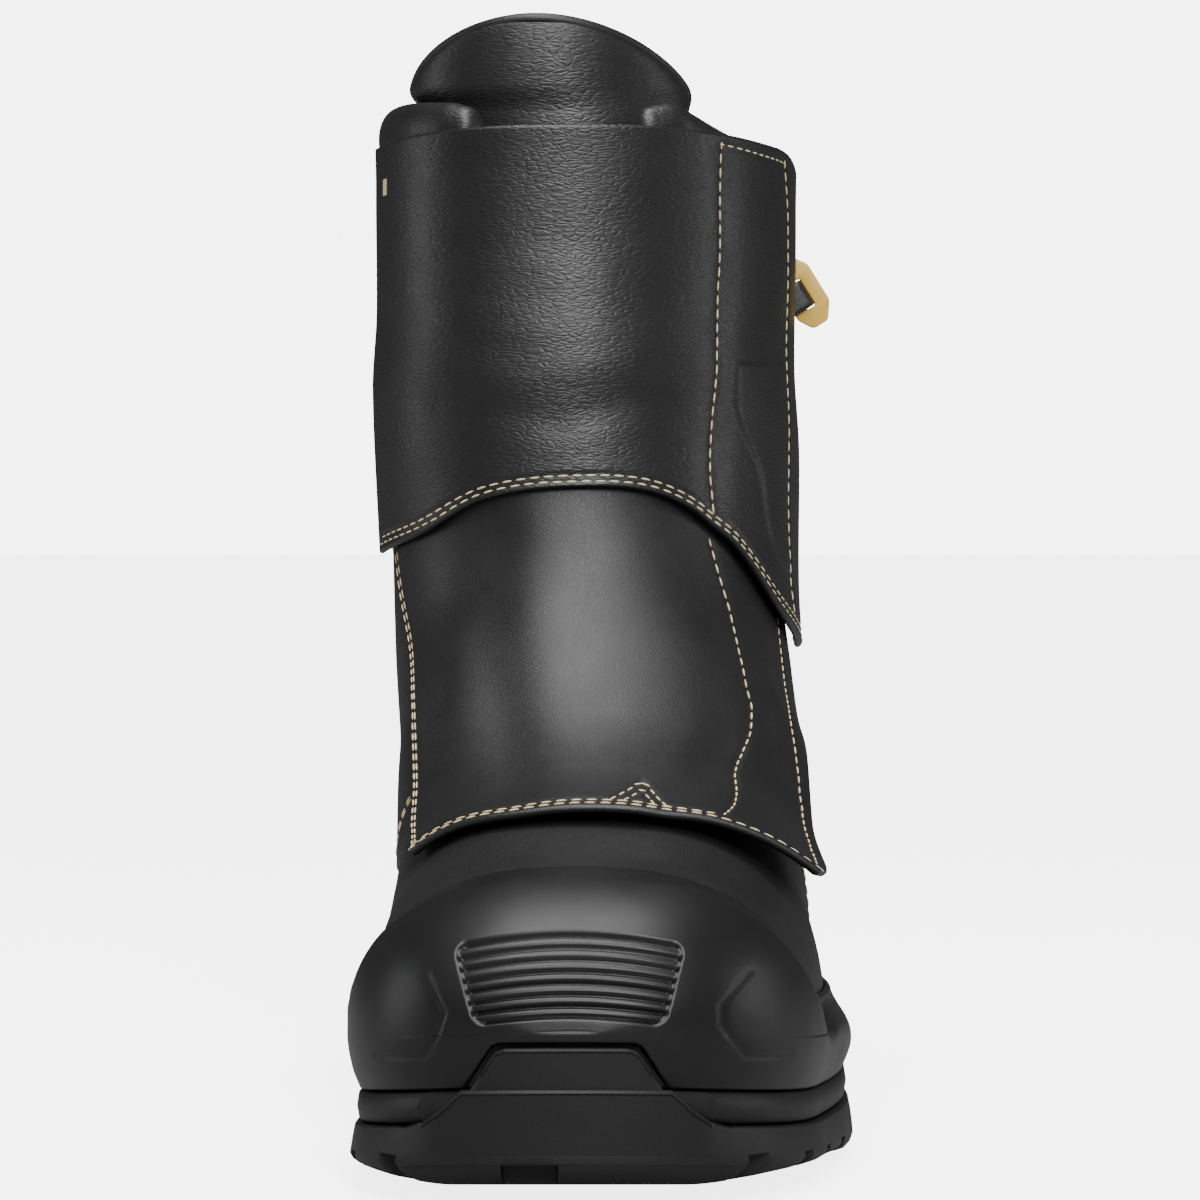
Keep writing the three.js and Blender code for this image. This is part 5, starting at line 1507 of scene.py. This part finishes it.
# Quarters, heel counter and back strip: a double seam, and a single one up each side of the strip
SEAM_SPACES = (2.2, 4.0)
QUARTER_TOPS = {-1: 104, 1: 84}
for side in (-1, 1):
    for space in SEAM_SPACES:
        sew_from(upper, (-side, 0, 0), [
            (0, quarter_front(z) + space, z) for z in np.linspace(45, QUARTER_TOPS[side], 60)
        ])
    for space in SEAM_SPACES:
        low_end = counter_edge(COUNTER_FRONT) - space
        front = [(0, COUNTER_FRONT + space, z) for z in np.linspace(52, low_end, 12)]
        lengths = np.linspace(COUNTER_FRONT + space, 137, 60)
        sew_from(upper, (-side, 0, 0), front + [(0, y, counter_edge(y) - space) for y in lengths])
    beside_strip = heel_middle + side * (BACK_STRIP - SEAM_SPACES[0])
    sew_from(upper, (0, -1, 0), [(beside_strip, 0, z) for z in np.linspace(95, 238, 120)])

sewing, given, path = path_tree("sewing")
spaced = node(sewing, "GeometryNodeResampleCurve", {
    "Curve": path, "Length": given.outputs["Size"],
}, mode="LENGTH")
facing = node(sewing, "GeometryNodeInputNamedAttribute", {"Name": "out"}, data_type="FLOAT_VECTOR")
tangent = node(sewing, "GeometryNodeInputTangent")
along_line = node(sewing, "FunctionNodeAlignRotationToVector", {"Vector": tangent.outputs[0]}, axis="X")
outward = node(sewing, "FunctionNodeAlignRotationToVector", {
    "Rotation": along_line.outputs[0], "Vector": facing.outputs["Attribute"],
}, axis="Z", pivot_axis="X")
ball = node(sewing, "GeometryNodeMeshUVSphere", {"Segments": 8, "Rings": 6, "Radius": 1.0})
stitch = node(sewing, "GeometryNodeTransform", {
    "Geometry": ball.outputs["Mesh"], "Scale": [size * MM for size in STITCH_SIZE],
})
placed = node(sewing, "GeometryNodeInstanceOnPoints", {
    "Points": spaced.outputs["Curve"], "Instance": stitch.outputs["Geometry"], "Rotation": outward.outputs[0],
})
solid = node(sewing, "GeometryNodeRealizeInstances", {"Geometry": placed.outputs["Instances"]})
end_tree(sewing, given, solid.outputs["Geometry"])
follow_lines("seam_thread", seam_corners, seam_edges, sewing, STITCH_PITCH, yarn, seam_out)

# The tongue's binding is a round tape that follows the rim
taping, given, path = path_tree("taping")
even = node(taping, "GeometryNodeResampleCurve", {"Curve": path, "Count": 150})
profile = node(taping, "GeometryNodeCurvePrimitiveCircle", {
    "Resolution": 14, "Radius": given.outputs["Size"],
})
tube = node(taping, "GeometryNodeCurveToMesh", {
    "Curve": even.outputs["Curve"], "Profile Curve": profile.outputs["Curve"], "Fill Caps": True,
})
end_tree(taping, given, tube.outputs["Mesh"])
rim_edges = [(i, i + 1) for i in range(len(rim_line) - 1)]
binding = follow_lines("tongue_binding", rim_line, rim_edges, taping, BINDING_RADIUS, smooth_leather)
binding.data.polygons.foreach_set("use_smooth", [True] * len(binding.data.polygons))

# The floor: a sheet of pale paper, larger than the view and lit from below, as for catalogue pictures.
FLOOR_SEEN = 0.86
FLOOR_BOUNCE = 0.2
FLOOR_GLOW = 4.0
bpy.ops.mesh.primitive_plane_add(size=16)
floor = bpy.context.object
floor.name = "floor"
paper, tree, shader = plain_finish("pale paper", 0.9, 0.2)
ray = node(tree, "ShaderNodeLightPath")
seen = node(tree, "ShaderNodeMapRange", {
    "Value": ray.outputs["Is Camera Ray"], "To Min": FLOOR_BOUNCE, "To Max": FLOOR_SEEN,
})
tree.links.new(seen.outputs["Result"], shader.inputs["Base Color"])
tree.links.new(ray.outputs["Is Camera Ray"], shader.inputs["Emission Strength"])
shader.inputs["Emission Color"].default_value = (*grey(FLOOR_GLOW), 1)
floor.data.materials.append(paper)

# Light: a white room that shines weakly in polished surfaces, a tall soft box by the camera, one above and
# two low ones at the sides
ROOM_SEEN = 6.0
ROOM_LIGHT = 1.0
ROOM_MIRRORED = 0.10
world = bpy.data.worlds.new("studio")
bpy.context.scene.world = world
world.use_nodes = True
tree = world.node_tree
room = tree.nodes["Background"]
room.inputs["Color"].default_value = (1, 1, 1, 1)
ray = node(tree, "ShaderNodeLightPath")
mirrored = node(tree, "ShaderNodeMapRange", {
    "Value": ray.outputs["Is Glossy Ray"], "To Min": ROOM_LIGHT, "To Max": ROOM_MIRRORED,
})
strength = node(tree, "ShaderNodeMapRange", {
    "Value": ray.outputs["Is Camera Ray"], "To Min": mirrored.outputs["Result"], "To Max": ROOM_SEEN,
})
tree.links.new(strength.outputs["Result"], room.inputs["Strength"])

for name, wide, tall, energy, place, aim in (
    ("key", 0.24, 0.9, 34, (0.26, -1.5, 1.10), (0, 0, 0.14)),
    ("above", 0.45, 1.1, 22, (-0.06, -0.30, 1.35), (0, -0.08, 0.1)),
    ("left", 0.2, 0.8, 3, (-1.3, 0.1, 0.35), (0, 0, 0.1)),
    ("right", 0.2, 0.8, 3, (1.3, 0.1, 0.35), (0, 0, 0.1)),
):
    light = bpy.data.lights.new(name, "AREA")
    light.shape = "RECTANGLE"
    light.size = wide
    light.size_y = tall
    light.energy = energy
    lamp = bpy.data.objects.new(name, light)
    bpy.context.scene.collection.objects.link(lamp)
    lamp.location = place
    lamp.rotation_euler = (Vector(aim) - Vector(place)).to_track_quat("-Z", "Y").to_euler()

# The camera stands where the photograph's stood, in front of the toe and level with the shaft
CAMERA_AWAY = 1150
CAMERA_HIGH = 170
CAMERA_DOWN = 1.553
camera_data = bpy.data.cameras.new("camera")
camera_data.lens = 153.5
camera_data.sensor_width = 36
camera = bpy.data.objects.new("camera", camera_data)
bpy.context.scene.collection.objects.link(camera)
camera.location = (ORIGIN[0] * MM, (TOE_Y - CAMERA_AWAY) * MM, CAMERA_HIGH * MM)
camera.rotation_euler = (math.radians(90 - CAMERA_DOWN), 0, 0)
bpy.context.scene.camera = camera
